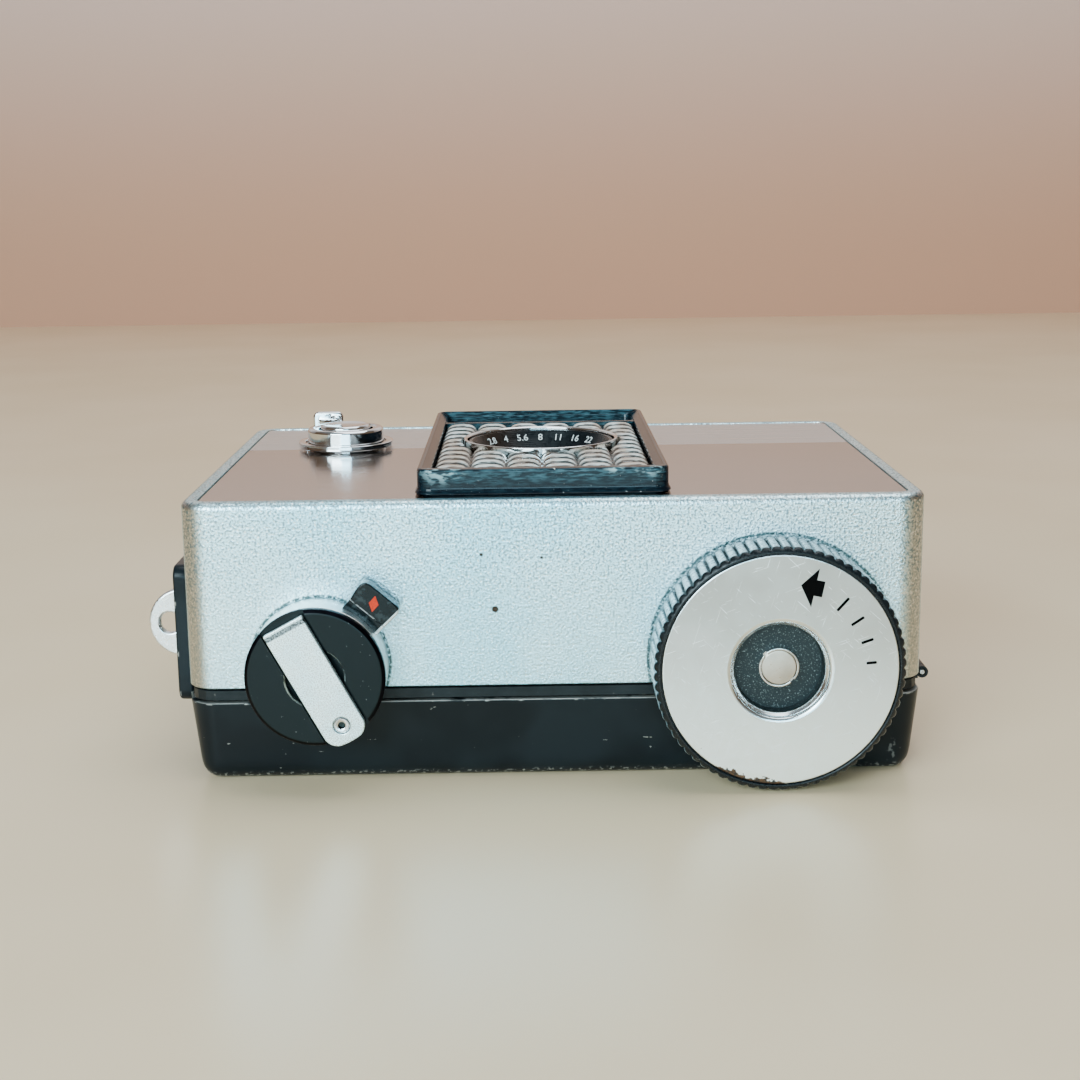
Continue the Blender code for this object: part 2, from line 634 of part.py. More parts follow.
def make_wind_knob(mat):
    points = 2 * KNOB_TEETH
    outline = []
    for i in range(points):
        radius = KNOB_R - (KNURL_DEPTH if i % 2 else 0)
        angle = 2 * math.pi * i / points
        outline.append((WIND[0] + radius * math.cos(angle), WIND[1] + radius * math.sin(angle)))
    rings = [[(x, y, z) for x, z in ring] for ring, y in (
        (outline, KNOB_BACK), (outline, KNOB_FACE + 0.6), (circle(WIND, 13.35, points), KNOB_FACE))]
    knob = add_object("wind_knob", stack(rings), mat["knob_black"], at_axis(WIND, "Y"))
    recess = [(0, KNOB_FACE - 1), (13.25, KNOB_FACE - 1), (13.25, KNOB_FACE + 0.5), (5.6, KNOB_FACE + 0.5),
              (5.3, KNOB_FACE + 0.6), (4.8, KNOB_FACE + 2.2), (0, KNOB_FACE + 2.2)]
    cut(knob, turned(recess, WIND, "Y", 48), disc(WIND, 1.9, KNOB_FACE - FAR, KNOB_BACK + FAR, "Y", 24))
    knob_disc = tube(WIND, 13.05, 5.75, KNOB_FACE, KNOB_FACE + 0.45, "Y", 48)
    add_object("wind_knob_disc", knob_disc, mat["knob_silver"], at_axis(WIND, "Y"))
    floor = KNOB_FACE + 2.2
    nut = tube(WIND, 2.25, 1.7, floor - 0.9, floor - 0.03, "Y", 24)
    nut_item = add_object("wind_knob_nut", nut, mat["steel"], at_axis(WIND, "Y"))
    cut(nut_item, box((WIND[0] - 3, floor - 2, WIND[1] - 0.25), (WIND[0] + 3, floor - 0.5, WIND[1] + 0.25)))


def pawl_centre():
    return (WIND[0] + 6.3, WIND[1] + 5.0)


def make_ratchet(mat):
    arbor = [(0, KNOB_FACE + 1.4), (1.4, KNOB_FACE + 1.5), (1.4, 21.5), (0, 22.0)]
    add_object("wind_arbor", turned(arbor, WIND, "Y", 20), mat["steel"], at_axis(WIND, "Y"))
    teeth = 24
    outline = []
    for i in range(teeth):
        for radius, share in ((4.5, 0.0), (5.2, 0.85)):
            angle = 2 * math.pi * (i + share) / teeth
            outline.append((WIND[0] + radius * math.cos(angle), WIND[1] + radius * math.sin(angle)))
    bm = plate(outline, (circle(WIND, 1.7, 20),), *RATCHET_Y, "Y")
    add_object("ratchet_wheel", bm, mat["steel"], at_axis(WIND, "Y"))
    pivot = pawl_centre()
    angle = math.atan2(WIND[1] - pivot[1], WIND[0] - pivot[0]) + 0.5
    shape = [(-1.2, -0.9), (0, -1.2), (1.6, -0.8), (3.0, -0.55), (3.0, -0.15), (1.4, 0.8), (0, 1.2), (-1.2, 0.9)]
    bm = prism(turned_outline(shape, pivot, angle), *RATCHET_Y, "Y")
    pawl = add_object("ratchet_pawl", bm, mat["steel"], at_axis(pivot, "Y"))
    join(pawl, disc(pivot, 0.7, -28.6, -25.6, "Y", 16))


# ---------------------------------------------------------------- rewind group

def make_rewind(mat):
    origin = at_axis(REWIND, "Y")
    back = -31.3
    profile = [(0, REWIND_FACE), (7.5, REWIND_FACE), (REWIND_R, REWIND_FACE + 0.25),
               (REWIND_R, REWIND_FACE + 1.1), (6.7, REWIND_FACE + 1.1), (6.7, back), (1.6, back), (1.6, -24.9),
               (0, -24.9)]
    knob = add_object("rewind_knob", turned(profile, REWIND, "Y", 40), mat["knob_black"], origin)
    strip = [(-9, -2.75), (9, -2.75), (9, 2.75), (-9, 2.75)]
    outside = REWIND_FACE - FAR
    channel = prism(turned_outline(strip, REWIND, CRANK_DIRECTION), outside, REWIND_FACE + 0.7, "Y")
    recess = disc(REWIND, 3.0, outside, REWIND_FACE + 1.3, "Y", 24)
    peg_at = turned_outline([(PEG_AT, 0)], REWIND, CRANK_DIRECTION)[0]
    peg_room = disc(peg_at, 1.35, outside, REWIND_FACE + 3.0, "Y", 16)
    cut(knob, channel, recess, peg_room)
    ring = tube(REWIND, 7.75, 7.3, REWIND_FACE + 1.4, -30.8, "Y", 40)
    add_object("selector_ring", ring, mat["knob_silver"], origin)
    make_crank(mat)
    tab = rounded((8.05, 11.4), (-2.5, 2.5), 1.0, steps=3)
    bm = prism(turned_outline(tab, REWIND, TAB_ANGLE), -33.5, -31.4, "Y")
    add_object("selector_tab", bm, mat["gloss_black"], origin)
    fork = add_object("rewind_fork", disc(REWIND, 2.2, -24.6, -22.0, "Y", 20), mat["steel"], origin)
    join(fork, box((REWIND[0] - 2.4, -22.5, REWIND[1] - 0.7), (REWIND[0] + 2.4, -19.0, REWIND[1] + 0.7)))


def make_crank(mat):
    """The folding crank: a strip across the knob, hinged at its upper left end, with a peg at the other."""
    hinge = turned_outline([(CRANK_HINGE, 0)], REWIND, CRANK_DIRECTION)[0]
    origin = (hinge[0], CRANK_AXIS_Y, hinge[1])
    near_end, half_wide, reach = -7.3, 2.45, 8.1
    outline = [(near_end, -half_wide), (near_end, half_wide)]
    for i in range(9):
        angle = math.radians(16 - 32 * i / 8)
        outline.append((reach * math.cos(angle), reach * math.sin(angle)))
    peg_hole = circle((PEG_AT, 0), 1.1, 16)
    strip = turned_outline(outline, REWIND, CRANK_DIRECTION)
    hole = turned_outline(peg_hole, REWIND, CRANK_DIRECTION)
    half_thick = 0.4
    bm = plate(strip, (hole,), CRANK_AXIS_Y - half_thick, CRANK_AXIS_Y + half_thick, "Y")
    add_object("crank_lever", bm, mat["knob_silver"], origin)
    peg_at = turned_outline([(PEG_AT, 0)], REWIND, CRANK_DIRECTION)[0]
    neck, head, shoulder, end = 0.8, 0.95, CRANK_AXIS_Y + 0.6, CRANK_AXIS_Y + 2.6
    profile = [(0, CRANK_AXIS_Y - half_thick), (neck, CRANK_AXIS_Y - half_thick), (neck, shoulder),
               (head, shoulder), (head, end), (0, end)]
    add_object("crank_peg", turned(profile, peg_at, "Y", 16), mat["steel"], at_axis(peg_at, "Y", CRANK_AXIS_Y))


# ---------------------------------------------------------------- shutter button and timer lever

def make_button(mat):
    profile = [(1.7, 30.7), (3.95, 30.7), (3.95, 32.75), (5.05, 32.75), (5.05, 34.9), (4.8, 35.3), (3.75, 35.3),
               (3.65, 35.1), (3.65, 31.6), (1.7, 31.6)]
    add_object("button_collar", turned(profile, BUTTON, steps=28), mat["chrome"])
    profile = [(0, 29.9), (1.3, 30.0), (1.3, 33.5), (3.3, 33.5), (3.3, 35.3), (3.0, 35.55), (0, 35.7)]
    add_object("shutter_button", turned(profile, BUTTON, steps=32), mat["chrome"], (*BUTTON, 0))
    rings = []
    turns, steps, sides = 3, 33, 4
    foot, rise, coil_r, wire_r = 31.95, 1.2, 2.4, 0.17
    for i in range(steps + 1):
        angle = 2 * math.pi * turns * i / steps
        height = foot + rise * i / steps
        ring = []
        for k in range(sides):
            swing = 2 * math.pi * k / sides
            radius = coil_r + wire_r * math.cos(swing)
            ring.append((BUTTON[0] + radius * math.cos(angle), BUTTON[1] + radius * math.sin(angle),
                         height + wire_r * math.sin(swing)))
        rings.append(ring)
    add_object("button_spring", stack(rings), mat["steel"], (*BUTTON, 0))


def make_timer_lever(mat):
    lever = add_object("timer_lever", tube(BUTTON, 6.3, 5.35, 32.8, 33.5, steps=40), mat["chrome"], (*BUTTON, 0))
    arm = [(-3.9, 4.2), (0.3, 5.6), (-1.3, 6.4), (-4.6, 6.4)]
    finger = box((BUTTON[0] - 5.0, BUTTON[1] + 5.7, 32.9), (BUTTON[0] - 0.9, BUTTON[1] + 6.5, 36.6))
    join(lever, prism([(BUTTON[0] + u, BUTTON[1] + v) for u, v in arm], 32.85, 33.45), finger)


# ---------------------------------------------------------------- lens, shutter and meter

def make_lens(mat):
    centre = (*LENS, 0)
    trim = [(9.35, 35.1), (9.35, 34.1), (9.8, 34.1), (9.8, 35.15), (9.6, 35.3)]
    add_object("lens_trim_ring", turned(trim, LENS, steps=48), mat["chrome"], centre)
    cone = [(9.15, 34.9), (9.1, 33.8), (6.2, 29.6), (5.6, 29.6), (5.6, 30.3), (8.75, 34.9)]
    add_object("aperture_scale_ring", turned(cone[::-1], LENS, steps=40), mat["chassis_black"], centre)
    barrel = [(4.3, 26.9), (10.4, 26.9), (10.4, 27.5), (5.3, 27.5), (5.3, 31.2), (4.6, 31.2), (4.3, 30.6)]
    add_object("lens_barrel", turned(barrel, LENS, steps=32), mat["black_steel"])
    front = [(0, 27.6), (4.0, 27.6), (4.0, 29.2), (3.4, 29.9), (2.4, 30.4), (1.2, 30.7), (0, 30.8)]
    add_object("front_element", turned(front, LENS, steps=24), mat["lens_glass"])
    cell = [(3.7, 19.6), (4.4, 19.6), (4.4, 22.4), (9.4, 22.4), (9.4, 23.0), (3.7, 23.0)]
    add_object("rear_cell", turned(cell, LENS, steps=32), mat["black_steel"])
    rear = [(0, 19.9), (1.8, 20.1), (3.4, 20.8), (3.4, 22.2), (1.7, 22.7), (0, 22.9)]
    add_object("rear_element", turned(rear, LENS, steps=24), mat["lens_glass"])


def blade_outline(side, above, reach):
    """Half a disc on one side of the lens axis, with an arm to its pivot above or below the lens."""
    points = []
    for i in range(13):
        angle = math.radians(-90 + 180 * i / 12)
        points.append((side * (reach * math.cos(angle) - 0.35), reach * math.sin(angle)))
    if side < 0:
        points = points[::-1]
    pivot = (side * -BLADE_PIVOTS[0], above * BLADE_PIVOTS[1])
    arm = [(pivot[0] - 1.3, 0), (pivot[0] + 1.3, 0), (pivot[0] + 1.3, pivot[1]), (pivot[0] - 1.3, pivot[1])]
    return points, arm, pivot


def make_blade(name, side, above, heights, start, mat):
    points, arm, pivot = blade_outline(side, above, 3.8)
    world = (LENS[0] + pivot[0], LENS[1] + pivot[1])

    def placed(outline):
        local = [(u - pivot[0], v - pivot[1]) for u, v in outline]
        return turned_outline(local, world, start)

    blade = add_object(name, prism(placed(points), *heights), mat["black_steel"], (*world, 0))
    low, high = heights[0] + 0.01, heights[1] - 0.01
    join(blade, prism(placed(arm), low, high), disc(world, 1.3, low, high, steps=16))
    cut(blade, disc(world, 0.75, low - 1, high + 1, steps=12))


def make_shutter(mat):
    base = plate(circle(LENS, 10.4, 40), (circle(LENS, 3.3, 24),), 24.7, 25.2)
    base_item = add_object("shutter_plate", base, mat["steel"])
    x, y = BLADE_PIVOTS
    studs = []
    for side in (1, -1):
        studs.append(disc((LENS[0] - side * x, LENS[1] - y), 0.5, 25.0, 26.5, steps=12))
        studs.append(disc((LENS[0] - side * x, LENS[1] + y), 0.5, 23.4, 24.9, steps=12))
    join(base_item, merged(*studs))
    make_blade("shutter_blade_a", 1, -1, (25.5, 25.75), 0.0, mat)
    make_blade("shutter_blade_b", -1, -1, (26.05, 26.3), 0.0, mat)
    make_blade("aperture_vane_a", 1, 1, (24.15, 24.4), VANE_OPEN, mat)
    make_blade("aperture_vane_b", -1, 1, (23.6, 23.85), -VANE_OPEN, mat)


def make_meter(mat):
    pivot = (-2.0, -20.4)
    magnet = add_object("meter_magnet", box((-7.6, -26.4, 13.2), (3.6, -14.6, 26.6)), mat["steel"])
    cut(magnet, disc(pivot, 3.2, 16, 28, steps=24), box((-8.6, -21.6, 24.2), (4.6, -19.2, 28)))
    spindle = [(0, 16.4), (2.4, 16.8), (2.4, 23.6), (0.5, 24.0), (0.5, 29.2), (0, 29.3)]
    needle = add_object("meter_needle", turned(spindle, pivot, steps=20), mat["brass"], (*pivot, 0))
    pointer = [(pivot[0] - 0.5, pivot[1] - 3.0), (pivot[0] + 0.5, pivot[1] - 3.0),
               (pivot[0] + 0.2, pivot[1] + 9.0), (pivot[0] - 0.2, pivot[1] + 9.0)]
    join(needle, prism(pointer, 28.7, 29.0))


def main():
    clear_scene()
    mat = make_materials()
    make_front_shell(mat)
    make_front_plate(mat)
    make_lens_frame(mat)
    make_cell_parts(mat)
    make_chassis(mat)
    make_screws(mat)
    make_back_door(mat)
    make_door_catch(mat)
    make_latch(mat)
    make_strap_lug(mat)
    make_hinge_pin(mat)
    make_flash_socket(mat)
    make_film_gate(mat)
    make_pressure_plate(mat)
    make_finder(mat)
    make_take_up(mat)
    make_gears(mat)
    make_sprocket(mat)
    make_counter(mat)
    make_wind_knob(mat)
    make_ratchet(mat)
    make_rewind(mat)
    make_button(mat)
    make_timer_lever(mat)
    make_lens(mat)
    make_shutter(mat)
    make_meter(mat)


main()
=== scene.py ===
"""The looks of the compact camera that lies on its back door: meshes, procedural materials, light and camera.

Lengths in this file are millimetres in the model's frame and become metres where a mesh or a light is made.
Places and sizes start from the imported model's boxes; the numbers added here are the details inside them.
"""

import math

import bmesh
import bpy
from mathutils import Matrix, Vector


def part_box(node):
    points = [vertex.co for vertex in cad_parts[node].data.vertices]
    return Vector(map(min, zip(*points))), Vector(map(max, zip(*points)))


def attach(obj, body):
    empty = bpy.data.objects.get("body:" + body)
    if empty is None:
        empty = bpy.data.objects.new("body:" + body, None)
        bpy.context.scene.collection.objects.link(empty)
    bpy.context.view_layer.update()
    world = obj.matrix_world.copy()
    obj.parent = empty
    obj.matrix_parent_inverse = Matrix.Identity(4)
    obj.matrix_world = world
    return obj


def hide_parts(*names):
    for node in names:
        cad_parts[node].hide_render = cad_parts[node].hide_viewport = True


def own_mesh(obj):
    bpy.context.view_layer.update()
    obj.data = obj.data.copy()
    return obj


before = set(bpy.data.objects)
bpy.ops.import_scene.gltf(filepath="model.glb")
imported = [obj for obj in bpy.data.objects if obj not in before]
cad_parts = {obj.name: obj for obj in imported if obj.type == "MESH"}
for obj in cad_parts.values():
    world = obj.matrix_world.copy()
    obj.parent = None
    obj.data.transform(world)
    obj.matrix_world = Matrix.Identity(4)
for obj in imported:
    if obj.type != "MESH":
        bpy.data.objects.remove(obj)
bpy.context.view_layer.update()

MM = 0.001
WEAR = "wear"      # point attribute: 1 on eased edges
CREST = "crest"    # point attribute: how much of a lenslet's crest a point is
CREASE = math.radians(38)
EASED_ANGLES = (math.radians(16.5), math.radians(60))
THIN = 0.12        # an area this small for its outline belongs to an eased edge


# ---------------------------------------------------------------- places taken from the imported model

def span(node):
    """A CAD node's lowest and highest corners in millimetres."""
    low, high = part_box(node)
    return low / MM, high / MM


def centre(node, axis):
    """The middle of a node's box as (u, v): the two axes other than the given one."""
    low, high = span(node)
    middle = (low + high) / 2
    return tuple(middle[k] for k, name in enumerate("XYZ") if name != axis)


def radius_of(node, axis=0):
    low, high = span(node)
    return (high[axis] - low[axis]) / 2


SHELL_LO, SHELL_HI = span("front_shell")
PLATE_LO, PLATE_HI = span("front_plate")
FRAME_LO, FRAME_HI = span("lens_frame")
DOOR_FOOT, DOOR_TOP = span("back_door")[0].z, 9.5
HINGE = centre("hinge_pin", "Y")
WINDOW_LO, WINDOW_HI = span("cell_window")
FINDER_LO, FINDER_HI = span("finder_window")
KNOB_LO, KNOB_HI = span("wind_knob")
REWIND_LO, REWIND_HI = span("rewind_knob")
CRANK_LO, CRANK_HI = span("crank_lever")
LENS = centre("lens_trim_ring", "Z")
BUTTON = centre("button_collar", "Z")
WIND = centre("wind_knob", "Y")
REWIND = centre("rewind_knob", "Y")
PEG = centre("crank_peg", "Y")
SOCKET = centre("flash_socket", "X")
COUNTER = centre("counter_window", "Y")
LUG_LO, LUG_HI = span("strap_lug")
LUG_GAP = 0.3
CORNER_R = 3.3
RIM = 1.8
KNOB_R = radius_of("wind_knob")
SELECTOR_R = radius_of("selector_ring")
DISC_R = radius_of("wind_knob_disc")
CRANK_ANGLE = math.atan2(PEG[1] - REWIND[1], PEG[0] - REWIND[0])
TAB_ANGLE = math.radians(49)


# ---------------------------------------------------------------- outlines

def on_circle(at, radius, angle):
    return at[0] + radius * math.cos(angle), at[1] + radius * math.sin(angle)


def circle(at, radius, steps=64):
    return [on_circle(at, radius, 2 * math.pi * i / steps) for i in range(steps)]


def rounded(x, y, radius, steps=7):
    """A rounded rectangle between the limits x and y, counter-clockwise."""
    right, left, far, near = x[1] - radius, x[0] + radius, y[1] - radius, y[0] + radius
    corners = ((right, far, 0), (left, far, 90), (left, near, 180), (right, near, 270))
    return [on_circle((u, v), radius, math.radians(start + 90 * i / steps))
            for u, v, start in corners for i in range(steps + 1)]


def shifted(points, inset):
    """A closed counter-clockwise outline with its sides moved inwards."""
    if abs(inset) < 1e-9:
        return list(points)
    result = []
    count = len(points)
    for i in range(count):
        before, here, after = (Vector(points[k % count]) for k in (i - 1, i, i + 1))
        first = (here - before).normalized()
        second = (after - here).normalized()
        normal_a = Vector((-first.y, first.x))
        normal_b = Vector((-second.y, second.x))
        moved = here + inset * (normal_a + normal_b) / max(1 + normal_a.dot(normal_b), 0.3)
        result.append((moved.x, moved.y))
    return result


def turned_outline(points, at, angle):
    c, s = math.cos(angle), math.sin(angle)
    return [(at[0] + c * u - s * v, at[1] + s * u + c * v) for u, v in points]


def eased(points, radius, steps=4, closed=True):
    """A profile with each corner rounded by one radius, or by a list of radii."""
    radii = radius if isinstance(radius, (list, tuple)) else [radius] * len(points)
    count = len(points)
    result = []
    for i, here in enumerate(points):
        ends = not closed and i in (0, count - 1)
        if ends or radii[i] <= 0:
            result.append(tuple(here))
            continue
        here = Vector(here)
        to_before = Vector(points[i - 1]) - here
        to_after = Vector(points[(i + 1) % count]) - here
        reach = min(radii[i], 0.45 * to_before.length, 0.45 * to_after.length)
        start = here + to_before.normalized() * reach
        end = here + to_after.normalized() * reach
        for k in range(steps + 1):
            t = k / steps
            point = start * (1 - t) ** 2 + here * 2 * t * (1 - t) + end * t ** 2
            result.append(tuple(point))
    return result


# ---------------------------------------------------------------- meshes

def place(u, v, height, axis):
    """An outline point at a height along the axis; (u, v) are the other two axes in X, Y, Z order."""
    if axis == "X":
        return (height, u, v)
    if axis == "Y":
        return (u, height, v)
    return (u, v, height)


def bridge(bm, lower, upper):
    """The quads between two rings of points."""
    for i in range(len(lower)):
        j = (i + 1) % len(lower)
        bm.faces.new((lower[i], lower[j], upper[j], upper[i]))


def skin(rings, closed=False):
    """Rings of points with equal counts joined, and capped or, if closed, joined last to first."""
    bm = bmesh.new()
    loops = [[bm.verts.new(point) for point in ring] for ring in rings]
    pairs = list(zip(loops, loops[1:]))
    if closed:
        pairs.append((loops[-1], loops[0]))
    for lower, upper in pairs:
        bridge(bm, lower, upper)
    if not closed:
        for loop in (loops[0][::-1], loops[-1]):
            face = bm.faces.new(loop)
            for edge in face.edges:
                edge.smooth = False
    return bm


def straight(low, high, ease, steps=3):
    """A wall's (inset, height) profile with both its edges eased."""
    lower, upper = [], []
    for k in range(steps + 1):
        angle = math.pi / 2 * k / steps
        inset = ease * (1 - math.sin(angle))
        rise = ease * (1 - math.cos(angle))
        lower.append((inset, low + rise))
        upper.append((inset, high - rise))
    return lower + upper[::-1]


def plate(loops, axis="Z", bm=None):
    """A plate from (outline, profile, is_hole) loops; each profile runs from the low face to the high one.

    An outline may be a function that gives the points for an inset. The plate can join an unfinished mesh.
    """
    bm = bm or bmesh.new()
    ends = ([], [])
    for outline, profile, is_hole in loops:
        sign = -1 if is_hole else 1
        rings = []
        for inset, height in profile:
            points = outline(inset) if callable(outline) else shifted(outline, sign * inset)
            ring = [bm.verts.new(place(u, v, height, axis)) for u, v in points]
            rings.append(ring)
        for lower, upper in zip(rings, rings[1:]):
            bridge(bm, lower, upper)
        for edges, ring in zip(ends, (rings[0], rings[-1])):
            for i in range(len(ring)):
                edge = bm.edges.get((ring[i - 1], ring[i]))
                edge.smooth = False
                edges.append(edge)
    for edges in ends:
        bmesh.ops.triangle_fill(bm, edges=edges, use_beauty=True)
    return bm


def slab(outline, low, high, axis="Z", ease=0.12, holes=()):
    """A plate with eased edges and straight holes."""
    wall = straight(low, high, ease)
    return plate([(outline, wall, False)] + [(hole, wall, True) for hole in holes], axis)


def turned(profile, at, axis="Z", steps=64):
    """A closed profile of (radius, height) points turned round an axis through (u, v)."""
    bm = bmesh.new()
    rings = []
    for radius, height in profile:
        if radius < 1e-6:
            rings.append([bm.verts.new(place(*at, height, axis))])
            continue
        rings.append([bm.verts.new(place(u, v, height, axis)) for u, v in circle(at, radius, steps)])
    for a, b in zip(rings, rings[1:] + rings[:1]):
        if len(a) == len(b) == steps:
            bridge(bm, a, b)
        elif len(a) != len(b):
            for i in range(steps):
                j = (i + 1) % steps
                bm.faces.new((a[0], b[i], b[j]) if len(a) == 1 else (a[i], a[j], b[0]))
    return bm


def drum(at, radius, low, high, axis="Z", steps=64):
    return turned([(0, low), (radius, low), (radius, high), (0, high)], at, axis, steps)


def placed(name, data):
    item = bpy.data.objects.new(name, data)
    bpy.context.scene.collection.objects.link(item)
    return item


def carved(bm, cutter, operation="DIFFERENCE"):
    """The mesh less the cutter, or joined to it, worked out once with temporary objects."""
    made = []
    for source in (bm, cutter):
        bmesh.ops.recalc_face_normals(source, faces=source.faces)
        mesh = bpy.data.meshes.new("temporary")
        source.to_mesh(mesh)
        source.free()
        made.append(placed("temporary", mesh))
    modifier = made[0].modifiers.new("cut", "BOOLEAN")
    modifier.operation = operation
    modifier.solver = "EXACT"
    modifier.object = made[1]
    graph = bpy.context.evaluated_depsgraph_get()
    mesh = bpy.data.meshes.new_from_object(made[0].evaluated_get(graph))
    result = bmesh.new()
    result.from_mesh(mesh)
    bpy.data.meshes.remove(mesh)
    for item in made:
        bpy.data.objects.remove(item, do_unlink=True)
    return result


def mark_edges(bm):
    """Creases for the shading, and the wear value of each point: 1 on eased edges, 0 elsewhere."""
    layer = bm.verts.layers.float.new(WEAR)
    wide = {face for face in bm.faces if face.calc_area() > THIN * face.calc_perimeter()}
    for edge in bm.edges:
        if len(edge.link_faces) != 2:
            continue
        angle = edge.calc_face_angle(0)
        if angle > CREASE:
            edge.smooth = False
        if EASED_ANGLES[0] < angle < EASED_ANGLES[1]:
            for vert in edge.verts:
                if wide.isdisjoint(vert.link_faces):
                    vert[layer] = 1.0


def piece(name, bm, look, body, node=None, slot=None):
    """A mesh drawn in millimetres becomes a piece that rides on a body and stands for a CAD node.

    A look may be given by its name in LOOKS. The slot is not used.
    """
    if isinstance(look, str):
        slot = slot or look
        look = LOOKS[look]
    bmesh.ops.remove_doubles(bm, verts=bm.verts, dist=1e-4)
    bmesh.ops.recalc_face_normals(bm, faces=bm.faces)
    for face in bm.faces:
        face.smooth = True
    mark_edges(bm)
    bm.transform(Matrix.Scale(MM, 4))
    mesh = bpy.data.meshes.new(name)
    bm.to_mesh(mesh)
    bm.free()
    mesh.materials.append(look.material)
    item = placed(name, mesh)
    item.modifiers.new("even_shading", "WEIGHTED_NORMAL").keep_sharp = True
    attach(item, body)
    if node:
        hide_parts(node)
    return item


def repaint(item, at, looks, choose):
    """Faces of a piece get other looks: choose gives 0 or a look's number from a face's reach and centre.

    The reach is the face's distance from the axis along Y through (x, z).
    """
    for look in looks:
        item.data.materials.append(look.material)
    for polygon in item.data.polygons:
        middle = polygon.center / MM
        polygon.material_index = choose(math.hypot(middle.x - at[0], middle.z - at[1]), middle)


def digits(text, size, thickness, bend):
    """Raised digits as a bmesh; bend turns each flat point (x, y, z) into a place."""
    curve = bpy.data.curves.new("digits", "FONT")
    curve.body = text
    curve.size = size
    curve.extrude = thickness / 2
    curve.resolution_u = 3
    curve.align_x = "CENTER"
    curve.align_y = "CENTER"
    item = placed("digits", curve)
    graph = bpy.context.evaluated_depsgraph_get()
    mesh = bpy.data.meshes.new_from_object(item.evaluated_get(graph))
    bm = bmesh.new()
    bm.from_mesh(mesh)
    bpy.data.objects.remove(item, do_unlink=True)
    bpy.data.meshes.remove(mesh)
    bmesh.ops.remove_doubles(bm, verts=bm.verts, dist=1e-5)
    for vert in bm.verts:
        vert.co = bend(*vert.co)
    return bm


def merged(meshes):
    whole = bmesh.new()
    for bm in meshes:
        mesh = bpy.data.meshes.new("temporary")
        bm.to_mesh(mesh)
        bm.free()
        whole.from_mesh(mesh)
        bpy.data.meshes.remove(mesh)
    return whole


# ---------------------------------------------------------------- materials

class Field:
    """A value that varies from place to place; arithmetic on it makes math nodes in its tree."""

    def __init__(self, nodes, socket):
        self.nodes = nodes
        self.socket = socket

    def __add__(self, other):
        return self.nodes.math("ADD", self, other)

    def __sub__(self, other):
        return self.nodes.math("SUBTRACT", self, other)

    def __rsub__(self, other):
        return self.nodes.math("SUBTRACT", other, self)

    def __mul__(self, other):
        return self.nodes.math("MULTIPLY", self, other)

    def __abs__(self):
        return self.nodes.math("ABSOLUTE", self)

    def most(self, other):
        """The larger of this value and another."""
        return self.nodes.math("MAXIMUM", self, other)

    def fit(self, low, high, to_low=0.0, to_high=1.0):
        """A soft step from to_low to to_high while the value goes from low to high."""
        inputs = dict(enumerate((self, low, high, to_low, to_high)))
        return self.nodes.made("ShaderNodeMapRange", 0, inputs, interpolation_type="SMOOTHSTEP")


class Nodes:
    """A node tree, with short ways to add the nodes that are used often."""

    def __init__(self, tree):
        self.tree = tree

    def made(self, kind, output, inputs=None, **settings):
        """The output of a new node, with its inputs given by name or number."""
        node = self.tree.nodes.new(kind)
        for key, value in settings.items():
            setattr(node, key, value)
        for key, value in (inputs or {}).items():
            self.feed(node.inputs[key], value)
        return Field(self, node.outputs[output])

    def feed(self, socket, value):
        if isinstance(value, Field):
            self.tree.links.new(value.socket, socket)
        elif isinstance(value, tuple) and socket.type == "RGBA":
            socket.default_value = (*value, 1.0)
        else:
            socket.default_value = value

    def math(self, operation, a, b=0.0, clamp=False):
        return self.made("ShaderNodeMath", 0, {0: a, 1: b}, operation=operation, use_clamp=clamp)

    def mix(self, factor, a, b):
        return self.made("ShaderNodeMix", 2, {0: factor, 6: a, 7: b}, data_type="RGBA")


